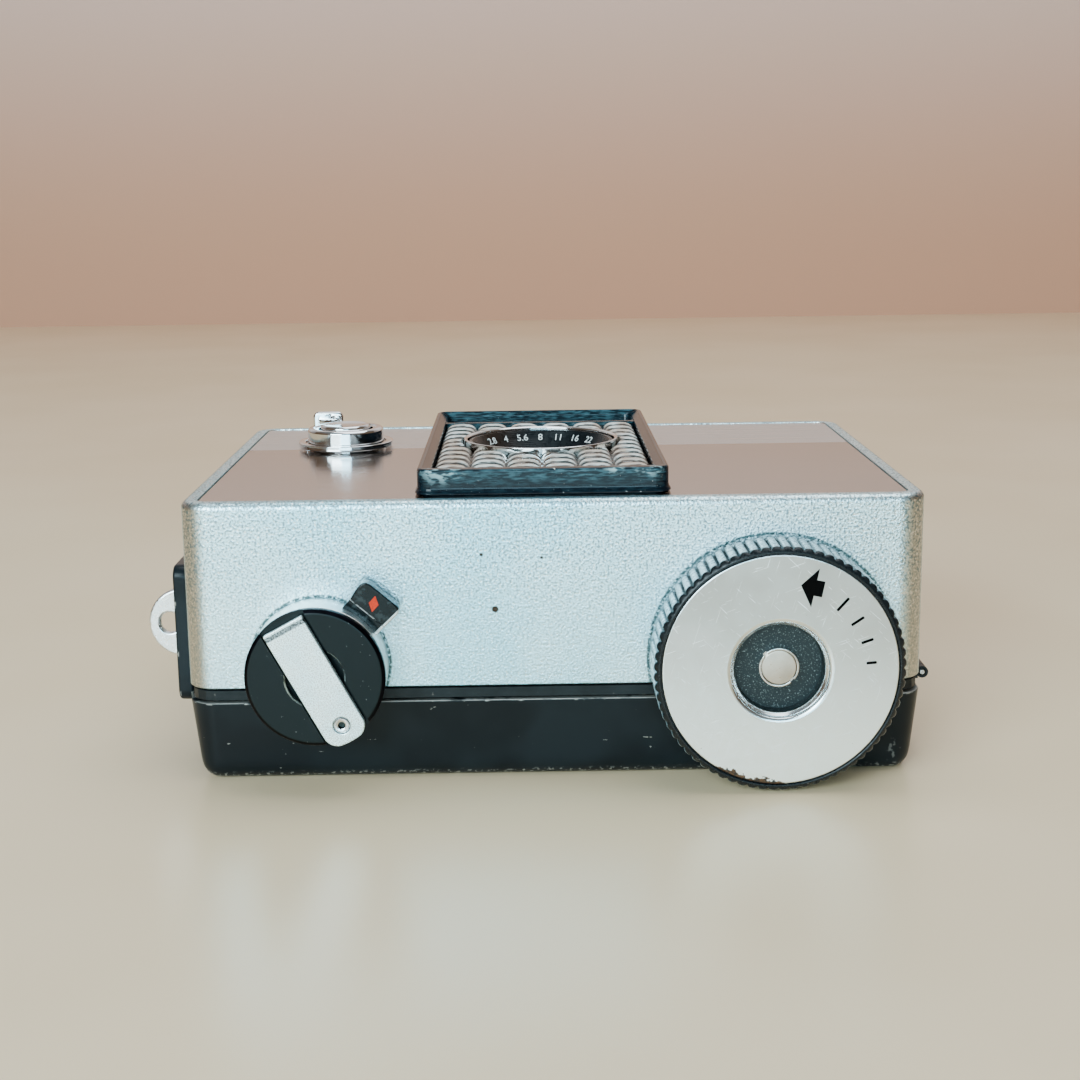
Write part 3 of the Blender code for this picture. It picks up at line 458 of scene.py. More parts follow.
class Look(Nodes):
    """A procedural material. Sizes given to its textures are millimetres on the object."""

    def __init__(self, name, colour, metallic, roughness, **sockets):
        self.material = bpy.data.materials.new(name)
        self.material.use_nodes = True
        self.material.diffuse_color = (*colour, 1.0)
        super().__init__(self.material.node_tree)
        self.shader = self.tree.nodes["Principled BSDF"]
        self.name = name
        self.base, self.metal, self.rough = colour, metallic, roughness
        self.into(Base_Color=colour, Metallic=metallic, Roughness=roughness, **sockets)
        self.coordinates = self.made("ShaderNodeTexCoord", "Object")
        self.normal = None

    def into(self, **values):
        """Values or fields for the shader's own sockets, named with _ for a space."""
        for name, value in values.items():
            self.feed(self.shader.inputs[name.replace("_", " ")], value)

    def scaled(self, scale, vector=None):
        inputs = {"Vector": vector or self.coordinates, "Scale": scale}
        return self.made("ShaderNodeMapping", "Vector", inputs)

    def noise(self, size, detail=2.0, stretch=(1, 1, 1)):
        vector = self.scaled(tuple(1 / (MM * size * s) for s in stretch))
        return self.made("ShaderNodeTexNoise", "Fac", {"Vector": vector, "Scale": 1.0, "Detail": detail})

    def cells(self, size):
        vector = self.scaled((1 / (MM * size),) * 3)
        return self.made("ShaderNodeTexVoronoi", "Distance", {"Vector": vector, "Scale": 1.0})

    def scored(self, turn, length, width, start):
        """Short fine scratches on the faces that look along Y, all in about one direction."""
        turned_to = {"Vector": self.coordinates, "Rotation": (0, turn, 0)}
        vector = self.made("ShaderNodeMapping", "Vector", turned_to)
        vector = self.scaled((1 / (MM * length), 1 / (MM * length), 1 / (MM * width)), vector)
        inputs = {"Vector": vector, "Scale": 1.0, "Detail": 1.0, "Distortion": 0.4}
        return self.made("ShaderNodeTexNoise", "Fac", inputs).fit(start, start + 0.02)

    def waves(self, pitch, direction):
        inputs = {"Vector": self.scaled((1 / MM,) * 3), "Scale": math.pi / (10 * pitch)}
        return self.made("ShaderNodeTexWave", "Fac", inputs, bands_direction=direction)

    def along(self, axis):
        """The object's own coordinate along X, Y or Z, in millimetres."""
        return self.made("ShaderNodeSeparateXYZ", axis, {0: self.scaled((1 / MM,) * 3)})

    def facing(self, axis):
        """How squarely the surface faces along X, Y or Z, either way, from 0 to 1."""
        return abs(self.made("ShaderNodeSeparateXYZ", axis, {0: self.made("ShaderNodeTexCoord", "Normal")}))

    def away(self, point, stretch=(1, 1, 1)):
        """The distance from a point in millimetres; stretch 0 leaves an axis out."""
        inputs = {0: self.scaled(tuple(s / MM for s in stretch)),
                  1: tuple(p * s for p, s in zip(point, stretch))}
        return self.made("ShaderNodeVectorMath", "Value", inputs, operation="DISTANCE")

    def from_axis(self, at):
        """The distance from the axis along Y through the point (x, z)."""
        return self.away((at[0], 0, at[1]), (1, 0, 1))

    def towards(self, at, angle):
        """How far the surface lies from that axis in one direction square to it."""
        x = (self.along("X") - at[0]) * math.cos(angle)
        return x + (self.along("Z") - at[1]) * math.sin(angle)

    def bump(self, height, depth, strength=1.0):
        """Adds relief of a depth in millimetres; later calls add to earlier ones."""
        inputs = {"Height": height, "Distance": depth * MM, "Strength": strength}
        if self.normal:
            inputs["Normal"] = self.normal
        self.normal = self.made("ShaderNodeBump", "Normal", inputs)
        self.into(Normal=self.normal)

    def wear(self, size, start, end):
        """How much bare material shows on eased edges, broken up by noise."""
        edges = self.made("ShaderNodeAttribute", "Fac", attribute_name=WEAR)
        return self.math("MULTIPLY", edges, self.noise(size, 4).fit(start, end), clamp=True)

    def reveal(self, factor, colour, metallic, roughness, base=None):
        """Bare metal through a coat where the factor is 1."""
        self.into(Base_Color=self.mix(factor, base or self.base, colour),
                  Metallic=factor.fit(0.0, 1.0, self.metal, metallic),
                  Roughness=factor.fit(0.0, 1.0, self.rough, roughness))


GRIME = (0.05, 0.035, 0.025)
PITS = (((-6.7, -30.5, 20.1), 0.30), ((-8.15, -30.5, 26.4), 0.12), ((-1.4, -30.5, 26.0), 0.10))
PLATE_RIB_AND_REFLECTION_EDGE = 9.5
RUST_AT = 254
TAB_ROOT = 8.65


def satin_silver():
    """The shell's sprayed silver: dark and white grain, stronger high up, a painted cyan sky reflection
    across the middle, painted warm shade on the rounded corners, painted shade with grime round the knobs,
    and a few pits.
    """
    look = Look("satin_silver", (0.72, 0.84, 0.88), 1.0, 0.36)
    grain = look.noise(0.27, 3)
    # Painted sky reflection: a cyan tint strongest near X = -11 mm, fading towards both ends.
    painted_sky_reflection = abs(look.along("X") + 11.0).fit(10.0, 40.0, 1.0, 0.25)
    painted_sky_reflection = look.mix(painted_sky_reflection, (0.76, 0.89, 0.89), (0.41, 0.80, 0.93))
    tone = look.mix(look.noise(14.0).fit(0.35, 0.65, 0.0, 0.45), painted_sky_reflection, (0.80, 0.98, 1.0))
    # Painted warm shade: brown mixed in where the surface turns from the front towards the sides.
    across = look.facing("X")
    corner = across.fit(0.15, 0.55, 0.0, 0.7) * across.fit(0.85, 0.98, 1.0, 0.0)
    tone = look.mix(corner, tone, (0.50, 0.40, 0.30))
    calm = across.fit(0.85, 0.98, 1.0, 0.45) * look.along("Z").fit(SHELL_LO.z + 2, SHELL_HI.z - 3, 0.45, 1.0)
    tone = look.mix(calm * grain.fit(0.50, 0.60, 0.0, 0.9), tone, (0.20, 0.29, 0.33))
    tone = look.mix(calm * grain.fit(0.44, 0.36, 0.0, 0.8), tone, (0.98, 1.0, 1.0))
    # Painted shade with grime: a dark broken ring on the shell's front face round each knob, where the knob
    # meets the shell.
    near = look.along("Y").fit(SHELL_LO.y + 1.0, SHELL_LO.y + 1.5, 1.0, 0.0)
    grime_and_contact_shade = look.noise(0.35, 4).fit(0.32, 0.52) * near
    for at, radius in ((WIND, KNOB_R), (REWIND, SELECTOR_R)):
        line = abs(look.from_axis(at) - (radius + 0.15)).fit(0.08, 0.28, 0.95, 0.0)
        tone = look.mix(line * grime_and_contact_shade, tone, (0.05, 0.09, 0.09))
    for at, radius in PITS:
        tone = look.mix(look.away(at).fit(radius, radius + 0.16, 1.0, 0.0), tone, GRIME)
    look.into(Base_Color=tone, Roughness=grain.fit(0.3, 0.7, 0.26, 0.44))
    look.bump(grain, 0.09, 0.8)
    look.bump(look.cells(0.30), 0.03, 0.4)
    return look


def brushed_plate():
    """The front plate, brushed along X, with fine ribs below a line across it; beyond the line the plate is
    rougher and painted lighter as a reflection of the backdrop.
    """
    look = Look("brushed_plate", (0.64, 0.60, 0.58), 1.0, 0.17)
    lines = look.noise(0.16, stretch=(120, 1, 1))
    # Painted reflection: the far side of the line is painted lighter; it is also the rougher, unribbed
    # finish.
    upper = look.along("Y").fit(PLATE_RIB_AND_REFLECTION_EDGE - 0.05, PLATE_RIB_AND_REFLECTION_EDGE + 0.05)
    tone = look.mix(upper, (0.56, 0.52, 0.50), (0.72, 0.69, 0.67))
    tone = look.mix(lines.fit(0.3, 0.7, 0.0, 0.3), tone, (0.42, 0.38, 0.36))
    rough = upper.fit(0.0, 1.0, 0.14, 0.30) + lines.fit(0.3, 0.7, -0.03, 0.05)
    look.into(Base_Color=tone, Roughness=rough)
    look.bump(look.waves(0.42, "Y") * (1.0 - upper), 0.004, 0.35)
    look.bump(lines, 0.003, 0.6)
    return look


def black_paint(name="black_paint", top=None, foot=None):
    """Satin black with light metal where it is worn; top and foot are heights of worn horizontal edges."""
    look = Look(name, (0.008, 0.011, 0.013), 0.0, 0.30, Specular_IOR_Level=0.16)
    scuff = look.noise(0.45, 5, (2.5, 1, 1)).fit(0.725, 0.755)
    worn = look.wear(0.9, 0.56, 0.66).most(scuff * 0.8)
    if top is not None:
        line = look.along("Z").fit(top - 0.11, top - 0.02) * look.noise(3.0, 5).fit(0.38, 0.52)
        edge = look.along("Z").fit(foot + 0.2, foot + 1.1, 1.0, 0.0) * look.noise(0.5, 5).fit(0.56, 0.60)
        edge = edge * look.facing("Z").fit(0.90, 0.97, 1.0, 0.0)
        rubbed = look.away((SHELL_HI.x - 3, SHELL_LO.y, foot + 2.5))
        rubbed = rubbed + look.noise(0.9, 5).fit(0.3, 0.7, 0.0, 2.0)
        worn = worn.most(line).most(edge).most(rubbed.fit(1.3, 2.0, 0.22, 0.0))
    smudge = look.mix(look.noise(9.0).fit(0.35, 0.65), (0.005, 0.008, 0.010), (0.009, 0.014, 0.017))
    look.reveal(worn, (0.46, 0.46, 0.43), 0.8, 0.42, smudge)
    look.bump(look.noise(0.5, 3), 0.012, 0.4)
    return look


def frame_black():
    """The frame's deep blue-black lacquer with wear specks, painted blue reflection streaks that are brighter
    high up, and painted pale window reflections high on its near wall.
    """
    look = Look("gloss_black", (0.003, 0.008, 0.012), 0.0, 0.14, Specular_IOR_Level=0.22)
    specks = look.noise(0.22, 4).fit(0.70, 0.74, 0.0, 0.7)
    # Painted reflection: blue streaks in the colour, brighter high on the wall and on faces along Y.
    painted_reflection_streaks = look.noise(0.22, 6, (6, 6, 1)).fit(0.40, 0.68, 0.10, 1.0)
    upper = look.along("Z").fit(33.5, 34.9, 0.15, 1.0) * look.facing("Y").fit(0.5, 0.9, 0.12, 1.0)
    tone = look.mix(painted_reflection_streaks * upper, (0.001, 0.004, 0.008), (0.042, 0.108, 0.132))
    # Painted reflection: pale cyan patches high on the near wall stand for the window's reflection, broken up
    # like rubbed lacquer.
    ragged = look.noise(0.55, 6, (2.2, 1, 1)).fit(0.47, 0.60)
    for x, reach in ((FRAME_LO.x + 3.2, 3.6), (FRAME_HI.x - 2.6, 2.4), (FRAME_HI.x - 6.5, 1.6)):
        near = look.away((x, FRAME_LO.y, 35.6), (1, 1, 1.6)).fit(0.3, reach, 0.75, 0.0)
        tone = look.mix(near * ragged, tone, (0.46, 0.70, 0.74))
    look.reveal(look.wear(0.5, 0.68, 0.74).most(specks), (0.50, 0.52, 0.50), 0.6, 0.30, tone)
    look.bump(look.noise(5.0), 0.05, 0.3)
    look.bump(look.noise(0.30, 4, (5, 1, 1)), 0.014, 0.7)
    return look


def tab_black():
    """The selector tab's lacquer, with bare metal along the edge that a finger pushes and along its step;
    these lines are partly wear and partly painted highlight.
    """
    look = Look("tab_black", (0.004, 0.008, 0.009), 0.0, 0.14, Specular_IOR_Level=0.25)
    across = look.towards(REWIND, TAB_ANGLE + math.pi / 2)
    out = look.towards(REWIND, TAB_ANGLE)
    # Partly wear, partly painted highlight: bare metal along the lower edge and the step, where the light
    # catches them.
    line = (across + (out - TAB_ROOT) * (0.25 / 2.85)).fit(-2.28, -2.12, 1.0, 0.0)
    step = abs(out - (TAB_ROOT + 0.07)).fit(0.05, 0.12, 1.0, 0.0) * look.noise(0.6, 4).fit(0.40, 0.52)
    tone = look.mix(look.noise(0.9, 5).fit(0.52, 0.66), (0.003, 0.007, 0.008), (0.022, 0.032, 0.034))
    look.reveal(line.most(step), (0.78, 0.84, 0.84), 0.7, 0.25, tone)
    look.bump(look.noise(0.8, 3), 0.02, 0.4)
    return look


def knob_black():
    """Black paint on the rewind knob, with small bare specks."""
    look = Look("knob_black", (0.004, 0.009, 0.010), 0.0, 0.28, Specular_IOR_Level=0.17)
    specks = look.noise(0.30, 5).fit(0.72, 0.745)
    look.reveal(look.wear(0.7, 0.54, 0.64).most(specks * 0.5), (0.52, 0.54, 0.53), 0.7, 0.4)
    look.bump(look.noise(0.30, 4), 0.012, 0.45)
    return look


def wind_black(flank_at):
    """The wind knob: dark front, and flanks painted a pale blue-grey that is partly dust and partly painted
    sheen from the light above.
    """
    look = Look("wind_black", (0.005, 0.008, 0.010), 0.0, 0.24, Specular_IOR_Level=0.3)
    outer = look.from_axis(WIND).fit(KNOB_R - 0.20, KNOB_R - 0.07)
    flank = look.along("Y").fit(flank_at, flank_at + 0.12) * outer
    # Partly dust, partly painted sheen: the whole flank is given a pale blue-grey colour.
    dust = look.noise(0.35, 4)
    pale = look.mix(dust.fit(0.35, 0.7), (0.32, 0.44, 0.48), (0.62, 0.75, 0.79))
    chips = look.noise(0.45, 5).fit(0.68, 0.72) * look.along("Z").fit(WIND[1] - 6, WIND[1] - 11) * 0.9
    dark = look.mix(chips, (0.005, 0.008, 0.010), (0.5, 0.48, 0.42))
    look.into(Base_Color=look.mix(flank, dark, pale), Metallic=flank.fit(0.0, 1.0, 0.0, 0.35),
              Roughness=dust.fit(0.3, 0.7, 0.22, 0.40))
    look.bump(dust, 0.02, 0.4)
    return look


def knob_silver():
    """The wind knob's disc: satin metal with hair scratches, painted lighter low down and darker high up as
    reflected light, and rust on part of its edge.
    """
    look = Look("knob_silver", (0.78, 0.75, 0.71), 1.0, 0.36)
    satin = look.noise(0.12, 3)
    hair = 0.0
    for scratches in ((0.35, 2.6, 0.10, 0.725), (1.25, 3.4, 0.08, 0.73), (-0.75, 2.2, 0.12, 0.72)):
        hair = look.math("MAXIMUM", hair, look.scored(*scratches))
    # Painted light: the disc is painted near white low down and dark high up.
    tone = look.mix(look.along("Z").fit(WIND[1] - 13, WIND[1] + 11), (1.0, 1.0, 0.95), (0.46, 0.42, 0.38))
    tone = look.mix(look.noise(5.0).fit(0.35, 0.7, 0.0, 0.2), tone, (0.84, 0.82, 0.78))
    tone = look.mix(hair, tone, (1.0, 1.0, 1.0))
    tone = look.mix(look.noise(0.35, 4).fit(0.735, 0.75), tone, (0.45, 0.40, 0.33))
    rust_at = on_circle(WIND, DISC_R, math.radians(RUST_AT))
    ragged = look.noise(0.5, 4).fit(0.3, 0.7, 0.15, 0.80) * look.from_axis(rust_at).fit(2.2, 5.0, 1.0, 0.0)
    rust = (ragged - (DISC_R - look.from_axis(WIND))).fit(-0.05, 0.08)
    brown = look.mix(look.noise(0.3, 3).fit(0.35, 0.65), (0.005, 0.004, 0.003), (0.10, 0.042, 0.014))
    look.into(Base_Color=look.mix(rust, tone, brown), Metallic=rust.fit(0.0, 1.0, 1.0, 0.1),
              Roughness=satin.fit(0.3, 0.7, 0.30, 0.42))
    look.bump(satin, 0.006, 0.6)
    look.bump(hair, 0.01, 0.5)
    return look


def strip_silver():
    """The crank's strip: pale satin metal, with painted shade for the fold at its hinged end, a dark band
    mottled with scores.
    """
    look = Look("strip_silver", (0.70, 0.73, 0.75), 0.72, 0.30)
    reach = look.towards(REWIND, CRANK_ANGLE)
    # Painted shade: a dark band where the strip folds at its hinged end, mottled with the scores.
    painted_fold_shade = reach.fit(-6.12, -6.02, 1.0, 0.0) * reach.fit(-6.66, -6.56)
    scores = look.noise(0.18, 4).fit(0.35, 0.65)
    tone = look.mix(look.noise(2.5, 4).fit(0.3, 0.7), (0.76, 0.96, 1.0), (0.86, 1.0, 1.0))
    dark = look.mix(scores, (0.03, 0.04, 0.045), (0.36, 0.42, 0.44))
    look.into(Base_Color=look.mix(painted_fold_shade, tone, dark), Roughness=scores.fit(0.0, 1.0, 0.24, 0.36))
    look.bump(scores, 0.02, 0.35)
    return look


def chrome():
    look = Look("chrome", (0.80, 0.81, 0.82), 1.0, 0.07)
    specks = look.noise(0.25, 4).fit(0.70, 0.74, 0.0, 0.6)
    look.into(Base_Color=look.mix(specks, (0.80, 0.81, 0.82), (0.25, 0.21, 0.17)),
              Roughness=look.noise(1.2, 4).fit(0.35, 0.75, 0.05, 0.16))
    look.bump(look.noise(0.8), 0.004, 0.5)
    return look


def clear_lenslets():
    """Clear moulded lenses over the dark cell: painted highlights and reflections, pale cyan-white and
    brown-beige, on each crest, and painted shade in the grooves between them.
    """
    look = Look("clear_lenslets", (0.50, 0.50, 0.49), 0.15, 0.12, Coat_Weight=0.35, Coat_Roughness=0.05)
    crest = look.made("ShaderNodeAttribute", "Fac", attribute_name=CREST)
    streak = crest + look.noise(0.30, 4, (4, 1, 1)).fit(0.3, 0.7, -0.22, 0.22)
    # Painted reflections: pale cyan-white and brown-beige patches on the crests; painted shade: near black in
    # the grooves.
    patch = look.noise(3.2, stretch=(1, 4, 1)).fit(0.42, 0.60)
    pale = look.mix(patch, (0.86, 0.98, 0.97), (0.60, 0.52, 0.42))
    shade = look.mix(patch, (0.02, 0.035, 0.035), (0.05, 0.03, 0.02))
    look.into(Base_Color=look.mix(streak.fit(0.42, 0.84), shade, pale),
              Roughness=look.noise(0.6, 4).fit(0.3, 0.7, 0.07, 0.22))
    look.bump(look.noise(0.45, 3), 0.03, 0.5)
    return look


def selenium():
    look = Look("selenium", (0.13, 0.10, 0.08), 0.3, 0.42)
    look.into(Base_Color=look.mix(look.noise(4.0).fit(0.3, 0.7), (0.10, 0.08, 0.06), (0.18, 0.15, 0.12)))
    look.bump(look.noise(0.4, 3), 0.01, 0.5)
    return look


def lens_glass():
    """Dark coated glass with dust; Layer Weight gives the coating's bloom."""
    look = Look("lens_glass", (0.030, 0.040, 0.065), 0.0, 0.02, Coat_Weight=1.0, Coat_Roughness=0.01,
                Specular_IOR_Level=0.8)
    bloom = look.made("ShaderNodeLayerWeight", "Facing", {"Blend": 0.35}).fit(0.1, 0.8)
    bloom = look.mix(bloom, (0.045, 0.030, 0.085), (0.03, 0.07, 0.09))
    dust = look.noise(0.4, 5).fit(0.68, 0.74, 0.0, 0.25)
    look.into(Base_Color=look.mix(dust, bloom, (0.4, 0.4, 0.4)), Roughness=dust.fit(0.0, 0.25, 0.02, 0.3))
    return look


def chassis_black():
    look = Look("chassis_black", (0.010, 0.013, 0.015), 0.0, 0.45, Specular_IOR_Level=0.2)
    tone = look.mix(look.noise(5.0).fit(0.3, 0.7), (0.006, 0.009, 0.010), (0.012, 0.017, 0.019))
    scuff = look.noise(0.6, 5).fit(0.70, 0.75, 0.0, 0.4)
    look.into(Base_Color=look.mix(scuff, tone, (0.25, 0.23, 0.21)),
              Roughness=look.noise(1.0, 3).fit(0.3, 0.7, 0.32, 0.52))
    look.bump(look.noise(0.25, 3), 0.02, 0.5)
    return look


def funnel_black():
    """The lens funnel: dark, with fine turned grooves and a painted brown reflection on one side."""
    look = Look("funnel_black", (0.010, 0.010, 0.011), 0.0, 0.28, Specular_IOR_Level=0.3)
    # Painted reflection: brown on the side towards -X, dark elsewhere.
    side = look.along("X").fit(LENS[0] - 8, LENS[0] - 1)
    look.into(Base_Color=look.mix(side, (0.026, 0.015, 0.010), (0.004, 0.007, 0.009)),
              Roughness=look.noise(0.7, 3).fit(0.3, 0.7, 0.22, 0.36))
    look.bump(look.waves(0.24, "Z"), 0.02, 0.4)
    return look


def metal(name, colour, roughness, grain=0.4, dark=0.55):
    look = Look(name, colour, 1.0, roughness)
    texture = look.noise(grain, 3)
    shade = tuple(c * dark for c in colour)
    look.into(Base_Color=look.mix(look.noise(grain * 8, 3).fit(0.3, 0.75), colour, shade),
              Roughness=texture.fit(0.3, 0.7, roughness * 0.8, roughness * 1.25))
    look.bump(texture, 0.006, 0.5)
    return look


def recess_floor():
    """The knob's recess floor: rough, dark green-black with light specks."""
    look = Look("recess_floor", (0.012, 0.020, 0.022), 0.2, 0.40, Specular_IOR_Level=0.4)
    crust = look.noise(0.16, 4)
    look.into(Base_Color=look.mix(crust.fit(0.58, 0.72), (0.008, 0.016, 0.018), (0.20, 0.25, 0.25)))
    look.bump(crust, 0.05, 0.7)
    return look


def foam():
    look = Look("foam", (0.02, 0.02, 0.02), 0.0, 0.95)
    bubbles = look.cells(0.4)
    look.into(Base_Color=look.mix(bubbles.fit(0.1, 0.7), (0.010, 0.010, 0.010), (0.035, 0.034, 0.033)))
    look.bump(bubbles, 0.15, 0.8)
    return look


def printed(name, colour, roughness=0.5, gloss=0.5):
    """Ink or paint with a slightly uneven face."""
    look = Look(name, colour, 0.0, roughness, Specular_IOR_Level=gloss)
    shade = tuple(c * 0.7 for c in colour)
    look.into(Base_Color=look.mix(look.noise(0.3, 4).fit(0.4, 0.8), colour, shade))
    look.bump(look.noise(0.12, 3), 0.004, 0.4)
    return look


LOOKS = {look.name: look for look in (
    satin_silver(), brushed_plate(), black_paint(), frame_black(), knob_black(), knob_silver(), chrome(),
    clear_lenslets(), selenium(), lens_glass(), chassis_black(), foam(),
    metal("steel", (0.56, 0.55, 0.53), 0.28), metal("brass", (0.72, 0.52, 0.24), 0.30, dark=0.7),
    metal("black_steel", (0.045, 0.045, 0.048), 0.38), printed("dial_white", (0.78, 0.77, 0.72)),
)}


# ---------------------------------------------------------------- body and covers

def body_outline():
    return rounded((SHELL_LO.x, SHELL_HI.x), (SHELL_LO.y, SHELL_HI.y), CORNER_R, steps=10)


def make_shell():
    outline = body_outline()
    top, low = SHELL_HI.z, SHELL_LO.z
    profile = [
        (0.12, low), (0.0, low + 0.12), (0.0, top - 0.85), (0.035, top - 0.58), (0.14, top - 0.34),
        (0.32, top - 0.15), (0.56, top - 0.03), (0.80, top), (RIM - 0.12, top), (RIM - 0.03, top - 0.03),
        (RIM, top - 0.12), (RIM, top - 1.1), (6.0, top - 1.1), (6.0, top - 2.2), (1.2, top - 2.2), (1.2, low),
    ]
    bm = skin([[(x, y, z) for x, y in shifted(outline, inset)] for inset, z in profile], closed=True)
    holes = ((WIND, 2.1, SHELL_LO.y - 1, SHELL_LO.y + 3, "Y"),
             (REWIND, 2.0, SHELL_LO.y - 1, SHELL_LO.y + 3, "Y"),
             (COUNTER, 2.5, SHELL_HI.y + 1, SHELL_HI.y - 3, "Y"),
             (SOCKET, 2.2, SHELL_HI.x + 1, SHELL_HI.x - 3, "X"))
    cutters = [drum(*hole) for hole in holes]
    lug_slot = rounded((LUG_LO.y - LUG_GAP, LUG_HI.y + LUG_GAP), (13.9, 18.5), 0.4)
    cutters.append(slab(lug_slot, SHELL_LO.x - 1, SHELL_LO.x + 3, "X"))
    piece("shell_skin", carved(bm, merged(cutters)), "satin_silver", "camera", "front_shell")


def make_door():
    """The back door: one deep tray with soft edges, hinge leaves and knuckles, and the eyepiece's opening."""
    wall = [(2.9, DOOR_FOOT), (2.35, 0.05), (1.9, 0.2), (1.55, 0.45), (1.25, 0.8), (1.0, 1.25), (0.85, 1.8),
            (0.74, 2.5), (0.0, DOOR_TOP - 0.22), (0.02, DOOR_TOP - 0.08), (0.12, DOOR_TOP), (1.18, DOOR_TOP),
            (1.27, DOOR_TOP - 0.04), (1.3, DOOR_TOP - 0.14), (2.2, 1.9), (2.5, 1.5), (2.9, 1.4)]
    eye = rounded((-10.6, 8.4), (16.0, 24.6), 1.0)
    sill = [(-0.1, DOOR_FOOT), (0.0, 0.1), (0.0, 1.3), (-0.1, 1.4)]
    parts = [plate([(body_outline(), wall, False), (eye, sill, True)])]
    leaf = [(41.0, 8.0), (42.2, 8.2), (42.75, 9.2), (42.75, 9.9), (42.2, 9.9), (42.1, 9.4), (41.0, 9.2)]
    for low, high in ((-17.7, -5), (5, 17.7)):
        parts.append(slab(leaf, low, high, "Y", ease=0.05))
        parts.append(turned([(0.42, low), (0.7, low), (0.7, high), (0.42, high)], HINGE, "Y", 32))
    piece("door_skin", merged(parts), black_paint("door_paint", DOOR_TOP, DOOR_FOOT), "door", "back_door",
          "black_paint")


def make_latch():
    """The sliding latch plate on the left side, with the openings for the lug and the door's hook."""
    low, high = span("latch_plate")
    bm = slab(rounded((low.y, high.y), (low.z, high.z), 1.5), low.x, -42.25, "X", ease=0.32)
    openings = (((LUG_LO.y - LUG_GAP, LUG_HI.y + 2.7), (13.6, 18.8), low.x - 1),
                ((-24.0, -13.4), (9.0, 13.8), low.x + 0.5), ((-21.4, -13.4), (7.0, 9.5), low.x + 0.5))
    for y, z, start in openings:
        bm = carved(bm, slab(rounded(y, z, 0.3), start, -41, "X"))
    piece("latch_skin", bm, black_paint("latch_paint"), "latch", "latch_plate", "black_paint")


def make_front_plate():
    outline = shifted(body_outline(), RIM + 0.15)
    frame_hole = rounded((FRAME_LO.x + 0.4, FRAME_HI.x - 0.4), (FRAME_LO.y + 0.4, FRAME_HI.y - 0.4), 1.5)
    bm = slab(outline, PLATE_LO.z, PLATE_HI.z, ease=0.10, holes=(frame_hole, circle(BUTTON, 4.4)))
    piece("face_plate", bm, "brushed_plate", "camera", "front_plate")


def make_lens_frame():
    """The black frame: a raised rim, sloping towards the cell window, and the finder's recess behind it."""
    outer = rounded((FRAME_LO.x, FRAME_HI.x), (FRAME_LO.y, FRAME_HI.y), 2.0)
    side, skirt_in = 1.75, 0.9
    panel_x = (FRAME_LO.x + side, FRAME_HI.x - side)
    panel = rounded(panel_x, (FRAME_LO.y + side, 15.7), 0.7)
    well = rounded((panel_x[0] + 0.4, panel_x[1] - 0.4), (16.75, 22.3), 0.6)

    def opening(share):
        """The opening above the window: its sides lean well outwards, its ends only a little."""
        x = (panel_x[0] - 0.88 * share, panel_x[1] + 0.88 * share)
        return rounded(x, (FRAME_LO.y + side - 0.22 * share, 22.66 + 0.22 * share), 0.7 + 0.1 * share)

    skirt = rounded((FRAME_LO.x + skirt_in, FRAME_HI.x - skirt_in),
                    (FRAME_LO.y + skirt_in, FRAME_HI.y - skirt_in), 1.0)
    foot, top, bar_top, floor_top = 32.75, FRAME_HI.z, WINDOW_HI.z, 31.6
    flare = [(0.05, foot), (0.0, foot + 0.08), (0.05, foot + 0.20), (0.22, foot + 0.42), (0.28, foot + 0.75),
             (0.28, bar_top)]
    cove = [(0, foot), (0.03, foot + 0.7), (0.12, foot + 1.3), (0.22, bar_top - 0.4), (0.36, bar_top)]
    lip = [(0.28, bar_top), (0.28, top - 0.30), (0.33, top - 0.14), (0.42, top - 0.04), (0.55, top)]
    slope = [(0, bar_top), (0.06, bar_top + 0.15), (0.94, top - 0.10), (1.0, top)]
    bars = plate([(outer, flare, False), (panel, [(0, foot), (0, bar_top)], True), (well, cove, True)])
    bm = carved(bars, plate([(outer, lip, False), (opening, slope, True)]), "UNION")
    hole = rounded((FINDER_LO.x - 0.3, FINDER_HI.x + 0.3), (FINDER_LO.y - 0.3, FINDER_HI.y + 0.3), 0.3)
    storeys = ((floor_top, foot, (panel, well)), (FRAME_LO.z, floor_top, (circle(LENS, 10.6), hole)))
    for low, high, holes in storeys:
        wall = [(0, low), (0, high)]
        plate([(skirt, wall, False)] + [(outline, wall, True) for outline in holes], bm=bm)
    piece("lens_frame_shape", bm, "gloss_black", "camera", "lens_frame")


CELLS_LO = (FRAME_LO.x + 1.85, FRAME_LO.y + 1.85)
CELLS_HI = (FRAME_HI.x - 1.85, WINDOW_HI.y + 0.28)


def lenslet_height(x, y):
    """The window's relief and how much of a crest it is: vaulted columns of overlapping lenses."""
    columns, rows = 6, 12
    width = (CELLS_HI[0] - CELLS_LO[0]) / columns
    pitch = (CELLS_HI[1] - CELLS_LO[1]) / rows
    across = min(abs(((x - CELLS_LO[0]) / width) % 1.0 * 2 - 1), 1.0)
    vault = 1 - across ** 4.5
    along = ((y - CELLS_LO[1] - 1.15 * (1 - across * across)) / pitch) % 1.0
    pillow = math.sin(math.pi * min(along * 1.05, 1.0) ** 0.75) ** 0.7
    edge = min(x - CELLS_LO[0], CELLS_HI[0] - x, y - CELLS_LO[1], CELLS_HI[1] - y)
    shoulder = 0.4 + 0.6 * min(1.0, max(edge, 0.0) / 0.15)
    height = (0.60 * vault + 0.40 * pillow * (0.35 + 0.65 * vault)) * shoulder
    return height, pillow ** 1.7 * (0.15 + 0.85 * math.sqrt(vault))


